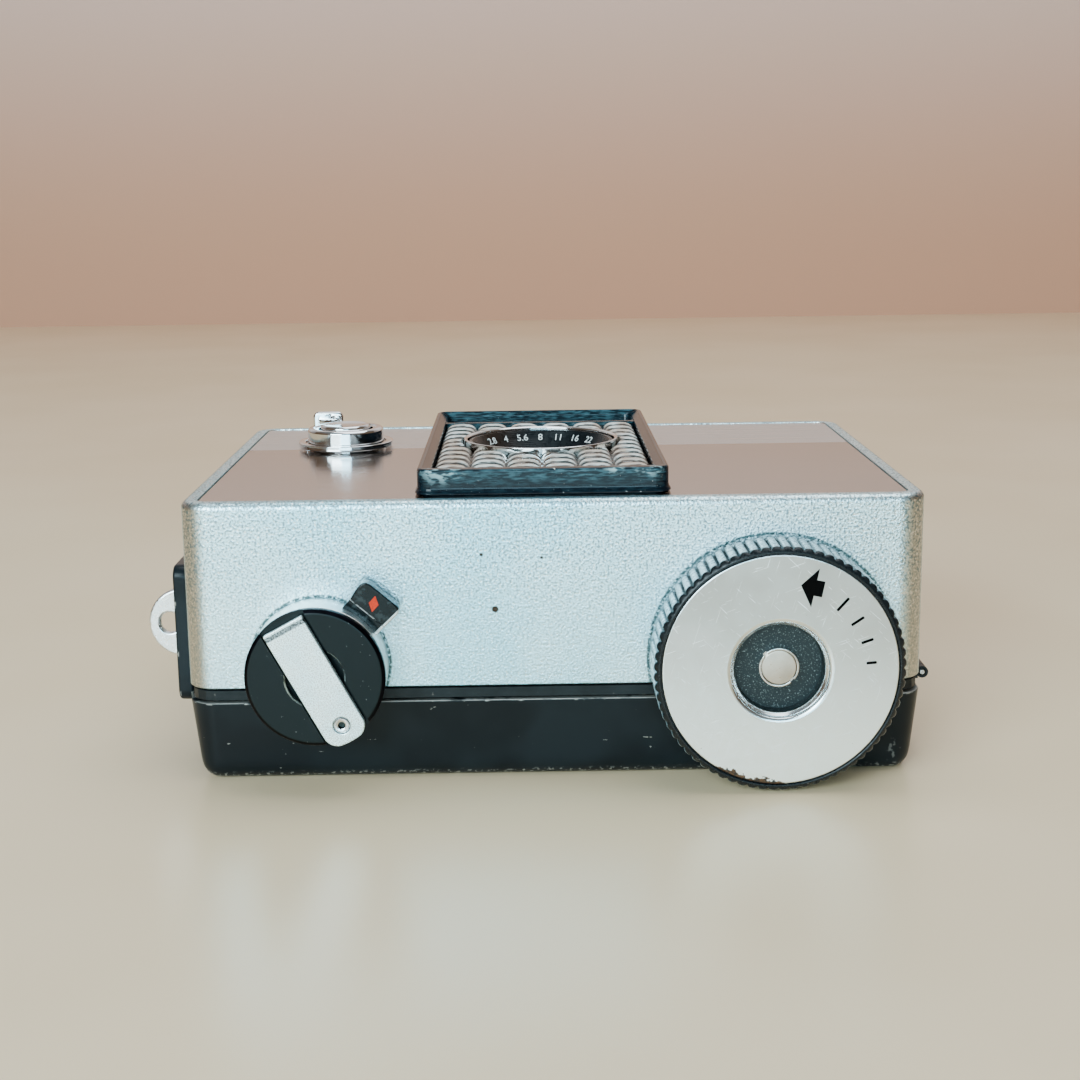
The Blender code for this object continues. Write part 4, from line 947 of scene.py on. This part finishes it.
def make_cell_window():
    relief = 0.85
    low, high = WINDOW_LO.z, WINDOW_HI.z
    nx, ny = 120, 216
    bm = bmesh.new()
    top, bottom = [], []
    for j in range(ny + 1):
        y = CELLS_LO[1] + (CELLS_HI[1] - CELLS_LO[1]) * j / ny
        top.append([])
        bottom.append([])
        for i in range(nx + 1):
            x = CELLS_LO[0] + (CELLS_HI[0] - CELLS_LO[0]) * i / nx
            on_rim = i in (0, nx) or j in (0, ny)
            top[j].append(bm.verts.new((x, y, high - relief * (1 - lenslet_height(x, y)[0]))))
            bottom[j].append(bm.verts.new((x, y, low)) if on_rim else None)
    for j in range(ny):
        for i in range(nx):
            bm.faces.new((top[j][i], top[j][i + 1], top[j + 1][i + 1], top[j + 1][i]))
    rim = [(j, 0) for j in range(ny)] + [(ny, i) for i in range(nx)]
    rim += [(j, nx) for j in range(ny, 0, -1)] + [(0, i) for i in range(nx, 0, -1)]
    bridge(bm, [top[j][i] for j, i in rim], [bottom[j][i] for j, i in rim])
    bm.faces.new([bottom[j][i] for j, i in rim])
    bm = carved(bm, drum(LENS, 10.25, low - 1, high + 1, steps=96))
    layer = bm.verts.layers.float.new(CREST)
    for vert in bm.verts:
        vert[layer] = lenslet_height(vert.co.x, vert.co.y)[1]
    piece("cell_lenslets", bm, "clear_lenslets", "camera", "cell_window")


def make_finder():
    window = rounded((FINDER_LO.x, FINDER_HI.x), (FINDER_LO.y, FINDER_HI.y), 0.4)
    bm = slab(window, FINDER_LO.z, FINDER_HI.z, ease=0.15)
    piece("finder_front_glass", bm, "lens_glass", "camera", "finder_window")
    low, high = span("finder_eyepiece")
    outer = rounded((low.x, high.x), (low.y, high.y), 0.9)
    inner = rounded((-6.5, 4.3), (18.2, 22.3), 0.6)
    sill = [(0.5, low.z), (0.15, low.z + 0.25), (0.0, low.z + 0.6), (0.0, high.z)]
    bm = carved(plate([(outer, sill, False)]), slab(inner, low.z - 1, low.z + 0.55, ease=0.1))
    piece("finder_eye_glass", bm, "lens_glass", "camera", "finder_eyepiece")


# ---------------------------------------------------------------- lens

def make_lens():
    low, high = span("lens_trim_ring")
    outer = radius_of("lens_trim_ring")
    profile = [(9.35, low.z), (outer, low.z), (outer, high.z - 0.05), (9.62, high.z), (9.35, high.z - 0.15)]
    bm = turned(eased(profile, [0.05, 0.05, 0.12, 0.12, 0.12], 3), LENS, steps=96)
    piece("trim_ring", bm, "chrome", "camera", "lens_trim_ring")
    make_scale_ring()
    low, high = span("lens_barrel")
    barrel = [(4.3, low.z), (10.4, low.z), (10.4, low.z + 0.6), (5.3, low.z + 0.6), (5.3, high.z),
              (4.75, high.z)]
    for k in range(4):
        step = high.z - 0.08 - 0.14 * k
        barrel += [(4.7 - 0.1 * k, step), (4.6 - 0.1 * k, step)]
    bm = turned(eased(barrel, 0.03, 2), LENS, steps=96)
    piece("lens_barrel_shape", bm, "black_steel", "camera", "lens_barrel")
    low, high = span("front_element")
    radius, edge, rings = radius_of("front_element"), 29.2, 12
    dome = [(0, low.z), (radius, low.z), (radius, edge)]
    dome += [on_circle((0, edge), radius, math.pi / 2 * k / rings) for k in range(1, rings)]
    dome[3:] = [(r, edge + (z - edge) * (high.z - edge) / radius) for r, z in dome[3:]]
    dome.append((0, high.z))
    piece("front_glass", turned(dome, LENS, steps=72), "lens_glass", "camera", "front_element")


def make_scale_ring():
    """The funnel round the lens, stepped by fine grooves, with the stop numbers raised on its slope."""
    low, high = span("aperture_scale_ring")
    mouth, throat = (8.75, high.z), (5.6, low.z + 0.7)
    cone = [(9.15, high.z), (9.1, high.z - 1.1), (6.2, low.z), (5.6, low.z), throat]
    steps = 5
    for k in range(1, steps):
        radius = throat[0] + (mouth[0] - throat[0]) * k / steps
        height = throat[1] + (mouth[1] - throat[1]) * k / steps
        cone += [(radius + 0.06, height - 0.10), (radius + 0.06, height)]
    cone.append(mouth)
    piece("scale_ring", turned(cone[::-1], LENS, steps=96), funnel_black(), "aperture_ring",
          "aperture_scale_ring", "chassis_black")
    slant = Vector((mouth[0] - throat[0], mouth[1] - throat[1]))
    up = slant.normalized()
    row, gap = 0.80, 0.03

    def on_funnel(angle):
        def bend(x, y, z):
            along = slant.length * row + y
            radius = throat[0] + up.x * along - (z + gap) * up.y
            height = throat[1] + up.y * along + (z + gap) * up.x
            turn = angle - x / (throat[0] + up.x * slant.length * row)
            return Vector((*on_circle(LENS, radius, turn), height))
        return bend

    stops = ("2.8", "4", "5.6", "8", "11", "16", "22")
    marks = [digits(text, 1.3, 0.05, on_funnel(math.radians(141 - 17 * k))) for k, text in enumerate(stops)]
    piece("scale_digits", merged(marks), printed("ink_white", (0.85, 0.85, 0.83)), "aperture_ring",
          slot="dial_white")


# ---------------------------------------------------------------- release button and self-timer lever

def make_button():
    low, high = span("button_collar")
    outer = (high.x - low.x) / 2
    top = high.z
    collar = [(1.7, low.z), (3.95, low.z), (3.95, 32.75), (outer, 32.75), (outer, top - 0.28),
              (outer - 0.30, top), (4.22, top), (4.12, top - 0.16), (3.65, top - 0.16), (3.65, 31.6),
              (1.7, 31.6)]
    radii = [0.05, 0.05, 0.05, 0.12, 0.25, 0.25, 0.06, 0.06, 0.05, 0.05, 0.05]
    bm = turned(eased(collar, radii, 4), BUTTON, steps=96)
    piece("collar_ring", bm, "chrome", "camera", "button_collar")
    low, high = span("shutter_button")
    top = high.z
    button = [(0, low.z), (1.3, low.z + 0.1), (1.3, 33.5), (3.3, 33.5), (3.3, top - 0.32), (3.12, top - 0.06),
              (2.86, top), (2.62, top - 0.07), (1.6, top - 0.17), (0, top - 0.20)]
    bm = turned(eased(button, [0, 0.1, 0.1, 0.1, 0.12, 0.12, 0.12, 0.2, 0.3, 0], 3), BUTTON, steps=96)
    piece("release_button", bm, "chrome", "button", "shutter_button")


def make_timer_lever():
    low, high = span("timer_lever")
    ring = eased([(5.35, 32.8), (6.3, 32.8), (6.3, 33.5), (5.35, 33.5)], 0.14, 4)
    parts = [turned(ring, BUTTON, steps=96)]
    arm = [(-1.3, 6.4), (-4.6, 6.4), (-3.9, 4.2), (0.3, 5.6)]
    arm = eased([(BUTTON[0] + u, BUTTON[1] + v) for u, v in arm], 0.3, 3)
    parts.append(slab(arm, 32.84, 33.46, ease=0.12))
    finger_x = (BUTTON[0] - 5.0, BUTTON[0] - 0.9)
    finger_y = (BUTTON[1] + 5.7, BUTTON[1] + 6.5)
    outline = rounded(finger_x, (32.95, high.z), 0.75)
    finger = slab(outline, finger_y[0], finger_y[1], "Y", ease=0.28)
    parts.append(finger)
    pin = eased([(0, finger_y[0] - 0.12), (0.42, finger_y[0] - 0.12), (0.42, finger_y[0] + 0.2),
                 (0, finger_y[0] + 0.2)], [0, 0.1, 0, 0], 3)
    parts.append(turned(pin, (finger_x[1] - 0.85, high.z - 0.95), "Y", 24))
    piece("timer_lever_shape", merged(parts), "chrome", "timer", "timer_lever")


# ---------------------------------------------------------------- wind knob

def scalloped(radius, depth, teeth=72, per_tooth=8):
    """A ring of rounded teeth with narrow grooves between them."""
    points = []
    for i in range(teeth * per_tooth):
        groove = abs(2 * ((i / per_tooth) % 1.0) - 1) ** 3
        points.append(on_circle(WIND, radius - depth * groove, 2 * math.pi * i / (teeth * per_tooth)))
    return points


def make_wind_knob():
    face, back = KNOB_LO.y, KNOB_HI.y
    flank = ((back, 0.25, 0.35), (back - 0.12, 0.06, 0.42), (back - 0.3, 0.0, 0.42), (face + 0.70, 0.0, 0.42),
             (face + 0.50, 0.04, 0.38), (face + 0.36, 0.14, 0.26), (face + 0.24, 0.26, 0.14),
             (face + 0.12, 0.42, 0.04), (face + 0.03, 0.58, 0.0), (face, 0.66, 0.0))
    rings = [[(x, y, z) for x, z in scalloped(KNOB_R - cut, depth)] for y, cut, depth in flank]
    inner = ((13.28, face), (13.20, face + 0.06), (13.20, face + 0.5), (5.42, face + 0.5),
             (5.36, face + 0.53), (5.30, face + 0.62), (5.14, face + 0.74), (4.98, face + 0.95),
             (4.93, face + 1.35), (4.90, face + 2.2), (1.9, face + 2.2), (1.9, back))
    rings += [[(x, y, z) for x, z in circle(WIND, r, len(rings[0]))] for r, y in inner]
    knob = piece("wind_knob_shape", skin(rings, closed=True), wind_black(face + 0.42), "wind", "wind_knob",
                 "knob_black")
    bevel = metal("recess_bevel", (0.88, 0.94, 0.95), 0.20, dark=0.8)

    def recess(reach, middle):
        """1 on the recess's bevelled lip, 2 inside it."""
        if middle.y < face + 0.45 + 1e-3 and reach > 5.6:
            return 0
        if 4.96 < reach < 5.62 and middle.y < face + 1.6:
            return 1
        return 2 if reach < 4.96 and middle.y < face + 2.3 else 0

    repaint(knob, WIND, (bevel, recess_floor()), recess)
    low, high = span("wind_knob_disc")
    hole, lip, steps = 5.40, 0.55, 6
    disc = eased([(hole, high.y), (DISC_R, high.y), (DISC_R, low.y), (hole, low.y)], [0, 0, 0.14, 0], 4)[:-1]
    for k in range(steps + 1):
        angle = math.pi / 2 * k / steps
        disc.append((hole + lip * (1 - math.sin(angle)), low.y + 0.42 * (1 - math.cos(angle))))
    made = piece("wind_disc", turned(disc, WIND, "Y", 128), "knob_silver", "wind", "wind_knob_disc")

    def edges(reach, middle):
        """1 on the disc's bright edges, except where the outer one has rusted."""
        turn = math.degrees(math.atan2(middle.z - WIND[1], middle.x - WIND[0])) % 360
        return int((reach > DISC_R - 0.14 and abs(turn - RUST_AT) >= 19) or reach < hole + lip)

    repaint(made, WIND, (bevel,), edges)
    make_wind_marks(low.y)
    low, high = span("wind_knob_nut")
    nut = eased([(1.98, high.y), (2.25, high.y), (2.25, low.y), (1.98, low.y)], [0, 0, 0.10, 0.10], 4)
    slot = slab(rounded((-3, 3), (-0.25, 0.25), 0.05, 2), low.y - 1, low.y + 0.6, "Y", ease=0.02)
    turn = Matrix.Rotation(math.radians(45), 4, "Y")
    bmesh.ops.transform(slot, matrix=Matrix.Translation((WIND[0], 0, WIND[1])) @ turn, verts=slot.verts)
    bright = metal("bright_steel", (0.78, 0.76, 0.72), 0.14)
    piece("arbor_nut", carved(turned(nut, WIND, "Y"), slot), bright, "wind", "wind_knob_nut", "steel")
    low, high = span("wind_arbor")
    arbor = [(0, low.y), (1.95, low.y), (1.95, low.y + 0.7), (1.4, low.y + 0.7), (1.4, high.y - 0.5),
             (0, high.y)]
    arbor = eased(arbor, [0, 0.12, 0, 0, 0, 0], 4)
    face_steel = metal("arbor_steel", (0.64, 0.55, 0.46), 0.34, 0.25, dark=0.8)
    piece("arbor_shape", turned(arbor, WIND, "Y", 48), face_steel, "wind", "wind_arbor", "steel")


def make_wind_marks(face):
    """The winding direction: a black arrow and four bars after it, on the disc's face."""
    arrow = [(-1.62, 0.0), (0.0, -2.2), (0.0, -0.89), (0.92, -0.89), (0.92, 0.89), (0.0, 0.89), (0.0, 2.2)]
    marks = [(arrow, 68.7, math.radians(-11.7))]
    for degrees, length in ((48, 1.9), (33.5, 1.65), (19.0, 1.4), (4.5, 1.15)):
        bar = rounded((-length / 2, length / 2), (-0.16, 0.16), 0.10, 3)
        marks.append((bar, degrees, math.radians(degrees)))
    proud, sunk, radius = 0.02, 0.05, 10.0
    parts = []
    for outline, degrees, turn in marks:
        at = on_circle(WIND, radius, math.radians(degrees))
        parts.append(slab(turned_outline(outline, at, turn), face - proud, face + sunk, "Y", ease=0.008))
    piece("wind_marks", merged(parts), printed("ink_black", (0.001, 0.001, 0.001), 0.7, 0.05), "wind",
          slot="knob_black")


# ---------------------------------------------------------------- rewind knob, crank and selector

def make_rewind():
    radius = radius_of("rewind_knob")
    face, back = REWIND_LO.y, -31.3
    body = [(0, face), (radius - 0.42, face), (radius, face + 0.30), (radius, face + 1.1), (6.7, face + 1.1),
            (6.7, back), (1.6, back), (1.6, REWIND_HI.y), (0, REWIND_HI.y)]
    bm = turned(eased(body, [0, 0.12, 0.12, 0.1, 0, 0, 0, 0, 0], 4), REWIND, "Y", 96)
    strip = turned_outline(rounded((-9.5, 9.5), (-2.75, 2.75), 0.3), REWIND, CRANK_ANGLE)
    channel = slab(strip, face - 2, face + 0.7, "Y", ease=0.05)
    recess = turned([(0, face - 2), (3.42, face - 2), (3.42, face), (3.28, face + 0.12), (3.28, face + 1.3),
                     (0, face + 1.3)], REWIND, "Y")
    for cutter in (channel, recess, drum(PEG, 1.35, face - 2, face + 3.0, "Y", 32)):
        bm = carved(bm, cutter)
    made = piece("rewind_disc", bm, "knob_black", "rewind", "rewind_knob")

    def edges(reach, middle):
        """1 round the disc's edge, 2 on the recess's rubbed one."""
        if reach > radius - 0.40:
            return 1
        return 2 if 3.29 < reach < 3.41 and middle.y < face + 0.12 else 0

    rubbed = metal("rubbed_edge", (0.62, 0.68, 0.68), 0.3, 0.2, dark=0.15)
    repaint(made, REWIND, (metal("rim_black", (0.006, 0.006, 0.009), 0.42), rubbed), edges)


def make_selector():
    low, high = span("selector_ring")
    ring = eased([(7.3, low.y), (SELECTOR_R, low.y), (SELECTOR_R, high.y), (7.3, high.y)], 0.14, 4)
    silver = metal("ring_silver", (0.97, 0.97, 0.95), 0.34, 0.8, dark=0.94)
    piece("selector_band", turned(ring, REWIND, "Y", 96), silver, "selector", "selector_ring", "knob_silver")
    low, high = span("selector_tab")
    tab = eased([(TAB_ROOT, -2.5), (11.5, -2.75), (11.5, 2.8), (TAB_ROOT, 2.45)], [0.1, 0.9, 1.5, 0.1], 6)
    root = eased([(7.35, -2.45), (8.8, -2.45), (8.8, 2.45), (7.35, 2.45)], 0.1, 2)
    parts = [slab(turned_outline(tab, REWIND, TAB_ANGLE), low.y, high.y, "Y", ease=0.16),
             slab(turned_outline(root, REWIND, TAB_ANGLE), low.y + 0.3, high.y, "Y", ease=0.06)]
    piece("selector_tab_shape", merged(parts), tab_black(), "selector", "selector_tab", "gloss_black")
    at = turned_outline([(10.05, 0.1)], REWIND, TAB_ANGLE)[0]
    lozenge = turned_outline([(-0.95, 0.0), (0.0, -0.55), (0.95, 0.0), (0.0, 0.55)], at, TAB_ANGLE + 0.5)
    bm = slab(lozenge, low.y - 0.02, low.y + 0.2, "Y", ease=0.01)
    ink = printed("ink_red", (0.70, 0.05, 0.02), 0.6, 0.1)
    piece("selector_mark", bm, ink, "selector", slot="gloss_black")


def make_crank():
    half, end, corner, count = 2.45, 8.1, 1.3, 24
    outline = eased([(0, half), (-6.92, half), (-6.92, -half), (0, -half)], 0.2, 3, closed=False)
    for i in range(count + 1):
        v = -half * math.cos(math.pi * i / count)
        into = max(abs(v) - (half - corner), 0.0)
        outline.append((math.sqrt(end * end - v * v) - corner + math.sqrt(corner * corner - into * into), v))
    strip = turned_outline(outline[1:-1], REWIND, CRANK_ANGLE)
    bm = slab(strip, CRANK_LO.y, CRANK_HI.y, "Y", ease=0.11, holes=(circle(PEG, 0.97, 32),))
    piece("crank_strip", bm, strip_silver(), "crank", "crank_lever", "knob_silver")
    low, high = span("crank_peg")
    rivet = [(0, low.y + 0.60), (0.34, low.y + 0.58), (0.42, low.y + 0.10), (0.58, low.y + 0.02),
             (0.78, low.y + 0.02), (0.88, low.y + 0.10), (0.88, low.y + 1.0), (0.95, low.y + 1.0),
             (0.95, high.y), (0, high.y)]
    bright = metal("rivet_steel", (0.80, 0.83, 0.84), 0.22, 0.3)
    made = piece("peg_shape", turned(rivet, PEG, "Y", 48), bright, "peg", "crank_peg", "steel")
    # Painted shade: the peg's hollow centre is given a near black metal.
    painted_hollow_shade = metal("peg_painted_shade", (0.03, 0.04, 0.04), 0.3)
    repaint(made, PEG, (painted_hollow_shade,), lambda reach, middle: int(reach < 0.38))


# ---------------------------------------------------------------- strap lug, flash socket, counter

def make_lug():
    z = (LUG_LO.z + LUG_HI.z) / 2
    radius = radius_of("strap_lug", 2)
    root = LUG_LO.x + radius
    outline = [on_circle((root, z), radius, math.radians(90 + 180 * i / 32)) for i in range(33)]
    outline += [(root, z - 2.0), (LUG_HI.x, z - 2.0), (LUG_HI.x, z + 2.0), (root, z + 2.0)]
    slot = rounded((LUG_LO.x + 1.3, root - 0.55), (z - 1.25, z + 1.25), 1.1)
    bm = slab(outline, LUG_LO.y, LUG_HI.y, "Y", ease=0.25, holes=(slot,))
    plated = metal("lug_chrome", (0.95, 0.97, 0.98), 0.30, 0.5, dark=0.9)
    piece("lug_shape", bm, plated, "camera", "strap_lug", "chrome")


def make_flash_socket():
    low, high = span("flash_socket")
    radius = radius_of("flash_socket", 1)
    flange, bore, floor, tip = low.x + 1.6, 1.6, 41.4, high.x - 0.3
    tube = eased([(0, low.x), (1.9, low.x), (1.9, flange), (radius, flange), (radius, high.x),
                  (bore, high.x), (bore, floor), (0, floor)], [0, 0.05, 0, 0.1, 0.2, 0.12, 0.05, 0], 4)
    piece("socket_tube", turned(tube, SOCKET, "X"), "black_steel", "camera", "flash_socket")
    pin = eased([(0, floor - 0.05), (0.5, floor - 0.05), (0.5, tip), (0, tip)], [0, 0, 0.22, 0], 4)
    piece("socket_pin", turned(pin, SOCKET, "X", 32), "steel", "camera", slot="black_steel")


def make_counter():
    low, high = span("counter_window")
    radius = radius_of("counter_window")
    glass = [(0, low.y), (radius, low.y), (radius, high.y - 0.35), (radius - 0.15, high.y - 0.15),
             (radius * 0.6, high.y - 0.03), (0, high.y)]
    dome = Look("counter_glass", (0.80, 0.83, 0.84), 0.0, 0.03, Transmission_Weight=0.9, IOR=1.45)
    dome.into(Roughness=dome.noise(0.5, 4).fit(0.65, 0.75, 0.03, 0.25))
    bm = turned(eased(glass, [0, 0, 0.1, 0.1, 0.3, 0], 3), COUNTER, "Y")
    piece("counter_glass", bm, dome, "camera", "counter_window", "lens_glass")
    low, high = span("counter_dial")
    at = centre("counter_dial", "Y")
    edge = 7.6
    dial = [(0, low.y), (1.6, low.y), (1.6, low.y + 0.7), (edge, low.y + 0.7), (edge, high.y), (0, high.y)]
    bm = turned(eased(dial, [0, 0.1, 0, 0.1, 0.1, 0], 3), at, "Y", 96)
    piece("dial_disc", bm, "dial_white", "counter", "counter_dial")
    marks = []
    for k in range(36):
        length = 0.9 if k % 3 == 0 else 0.5
        tick = rounded((7.2 - length, 7.2), (-0.07, 0.07), 0.03, 2)
        tick = turned_outline(tick, at, math.radians(90 + 10 * k))
        marks.append(slab(tick, high.y - 0.02, high.y + 0.02, "Y", ease=0.005))

    def on_dial(angle):
        def bend(x, y, z):
            u, v = turned_outline([(5.1 + y, x)], at, angle)[0]
            return Vector((u, high.y + z, v))
        return bend

    for k, text in enumerate(("0", "12", "24", "36", "48", "60")):
        marks.append(digits(text, 1.9, 0.04, on_dial(math.radians(90 + 60 * k))))
    piece("dial_marks", merged(marks), printed("dial_ink", (0.02, 0.02, 0.02)), "counter", slot="dial_white")


# ---------------------------------------------------------------- springs

def make_springs():
    """The button's coil and the pressure plate's bowed leaf, each with a mesh of its own."""
    low, high = span("button_spring")
    wire, turns, steps, sides = 0.17, 3, 144, 10
    radius = radius_of("button_spring") - wire
    foot, rise = low.z + wire, high.z - low.z - 2 * wire
    rings = []
    for i in range(steps + 1):
        angle = 2 * math.pi * turns * i / steps
        section = circle((radius, foot + rise * i / steps), wire, sides)
        rings.append([(*on_circle(BUTTON, reach, angle), height) for reach, height in section])
    coil = piece("button_coil", skin(rings), "steel", "camera", "button_spring")
    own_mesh(coil)
    low, high = span("pressure_spring")
    middle, bow, thick, count = (low.x + high.x) / 2, 5.5, 0.3, 40
    upper, lower = [], []
    for i in range(count + 1):
        x = low.x + (high.x - low.x) * i / count
        share = min(abs(x - middle) / bow, 1.0)
        z = low.z + thick / 2 + (high.z - low.z - thick) * (0.5 + 0.5 * math.cos(math.pi * share))
        z += 0.25 * max(abs(x - middle) - bow, 0.0) / 3.0
        upper.append((x, z + thick / 2))
        lower.append((x, z - thick / 2))
    bm = slab(lower + upper[::-1], low.y, high.y, "Y", ease=0.05)
    leaf = piece("pressure_leaf", bm, "steel", "pressure", "pressure_spring")
    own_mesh(leaf)


# ---------------------------------------------------------------- CAD nodes that stay

def dress_nodes():
    """The nodes that stay get their material, an eased edge and even shading from modifiers."""
    for name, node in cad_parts.items():
        for slot in node.material_slots:
            slot.material = LOOKS[slot.material.name.split(".")[0]].material
        weld = node.modifiers.new("weld", "WELD")
        weld.merge_threshold = 2e-6
        flat = node.modifiers.new("flat", "DECIMATE")
        flat.decimate_type = "DISSOLVE"
        flat.angle_limit = math.radians(1)
        bevel = node.modifiers.new("eased", "BEVEL")
        bevel.width = (0.06 if name == "chassis" else 0.05) * MM
        bevel.segments = 2
        bevel.angle_limit = math.radians(40)
        bevel.harden_normals = True
        node.modifiers.new("even_shading", "WEIGHTED_NORMAL").keep_sharp = True


# ---------------------------------------------------------------- floor, light and camera

def staged_plane(name, corners, look):
    mesh = bpy.data.meshes.new(name)
    mesh.from_pydata([Vector(c) * MM for c in corners], [], [(0, 1, 2, 3)])
    mesh.materials.append(look.material)
    placed(name, mesh)


def softbox(name, at, aim, size, power, colour):
    light = bpy.data.lights.new(name, "AREA")
    light.shape = "RECTANGLE"
    light.size, light.size_y = size[0] * MM, size[1] * MM
    light.energy = power
    light.color = colour
    item = placed(name, light)
    item.location = Vector(at) * MM
    item.rotation_mode = "QUATERNION"
    item.rotation_quaternion = (Vector(aim) - Vector(at)).to_track_quat("-Z", "Y")


def make_stage():
    half, depth, wall_at = 2500, 700, 640
    table = Look("stage_floor", (0.74, 0.62, 0.46), 0.0, 0.32)
    table.into(Base_Color=table.mix(table.noise(60.0).fit(0.3, 0.7), (0.84, 0.65, 0.43), (0.79, 0.60, 0.38)))
    floor = ((-half, -half), (half, -half), (half, depth), (-half, depth))
    staged_plane("stage_floor", [(x, y, DOOR_FOOT) for x, y in floor], table)
    backdrop = Look("stage_wall", (0.62, 0.40, 0.30), 0.0, 0.7)
    # Painted light: the backdrop is painted warm and dark low down and pale high up, for how the light falls
    # on it.
    rise = backdrop.along("Z").fit(20, 330)
    backdrop.into(Base_Color=backdrop.mix(rise, (0.66, 0.35, 0.22), (0.95, 0.80, 0.78)))
    wall = [(-half, wall_at, -400), (half, wall_at, -400), (half, wall_at, 900), (-half, wall_at, 900)]
    staged_plane("stage_wall", wall, backdrop)
    softbox("window", (-330, -640, 330), (0, -20, 15), (420, 380), 8.3, (0.70, 0.92, 1.0))
    softbox("ceiling", (120, 60, 760), (0, 0, 0), (700, 600), 5, (0.88, 0.96, 1.0))
    softbox("low_front", (20, -820, 130), (0, -20, 20), (420, 200), 2.7, (0.46, 0.82, 1.0))
    world = bpy.data.worlds.new("studio")
    world.use_nodes = True
    sky = Nodes(world.node_tree)
    sideways = abs(sky.made("ShaderNodeSeparateXYZ", "X", {0: sky.made("ShaderNodeTexCoord", "Generated")}))
    share = sky.made("ShaderNodeMapRange", 0, {"Value": sideways, "From Min": 0.35, "From Max": 0.85})
    background = world.node_tree.nodes["Background"]
    sky.feed(background.inputs["Color"], sky.mix(share, (0.80, 0.90, 0.95), (0.60, 0.40, 0.26)))
    sky.feed(background.inputs["Strength"], 0.26)
    bpy.context.scene.world = world


def make_camera():
    """The photographed viewing angle: almost level, in front of the base plate."""
    yaw, pitch, roll = 0.0058, 0.2043, -0.0134
    forward = Vector((math.sin(yaw) * math.cos(pitch), math.cos(yaw) * math.cos(pitch), -math.sin(pitch)))
    level = Vector((math.cos(yaw), -math.sin(yaw), 0))
    upright = level.cross(forward)
    right = level * math.cos(roll) + upright * math.sin(roll)
    up = upright * math.cos(roll) - level * math.sin(roll)
    data = bpy.data.cameras.new("camera")
    data.sensor_width = 36.0
    data.lens = 57.82
    data.clip_start = 0.01
    data.clip_end = 20.0
    item = placed("camera", data)
    rotation = Matrix((right, up, -forward)).transposed()
    item.matrix_world = Matrix.Translation(Vector((-2.649, -220.339, 67.326)) * MM) @ rotation.to_4x4()
    bpy.context.scene.camera = item


for make in (make_camera, make_stage, dress_nodes, make_shell, make_door, make_latch, make_front_plate,
             make_lens_frame, make_cell_window, make_finder, make_lens, make_button, make_timer_lever,
             make_wind_knob, make_rewind, make_selector, make_crank, make_lug, make_flash_socket,
             make_counter, make_springs):
    make()
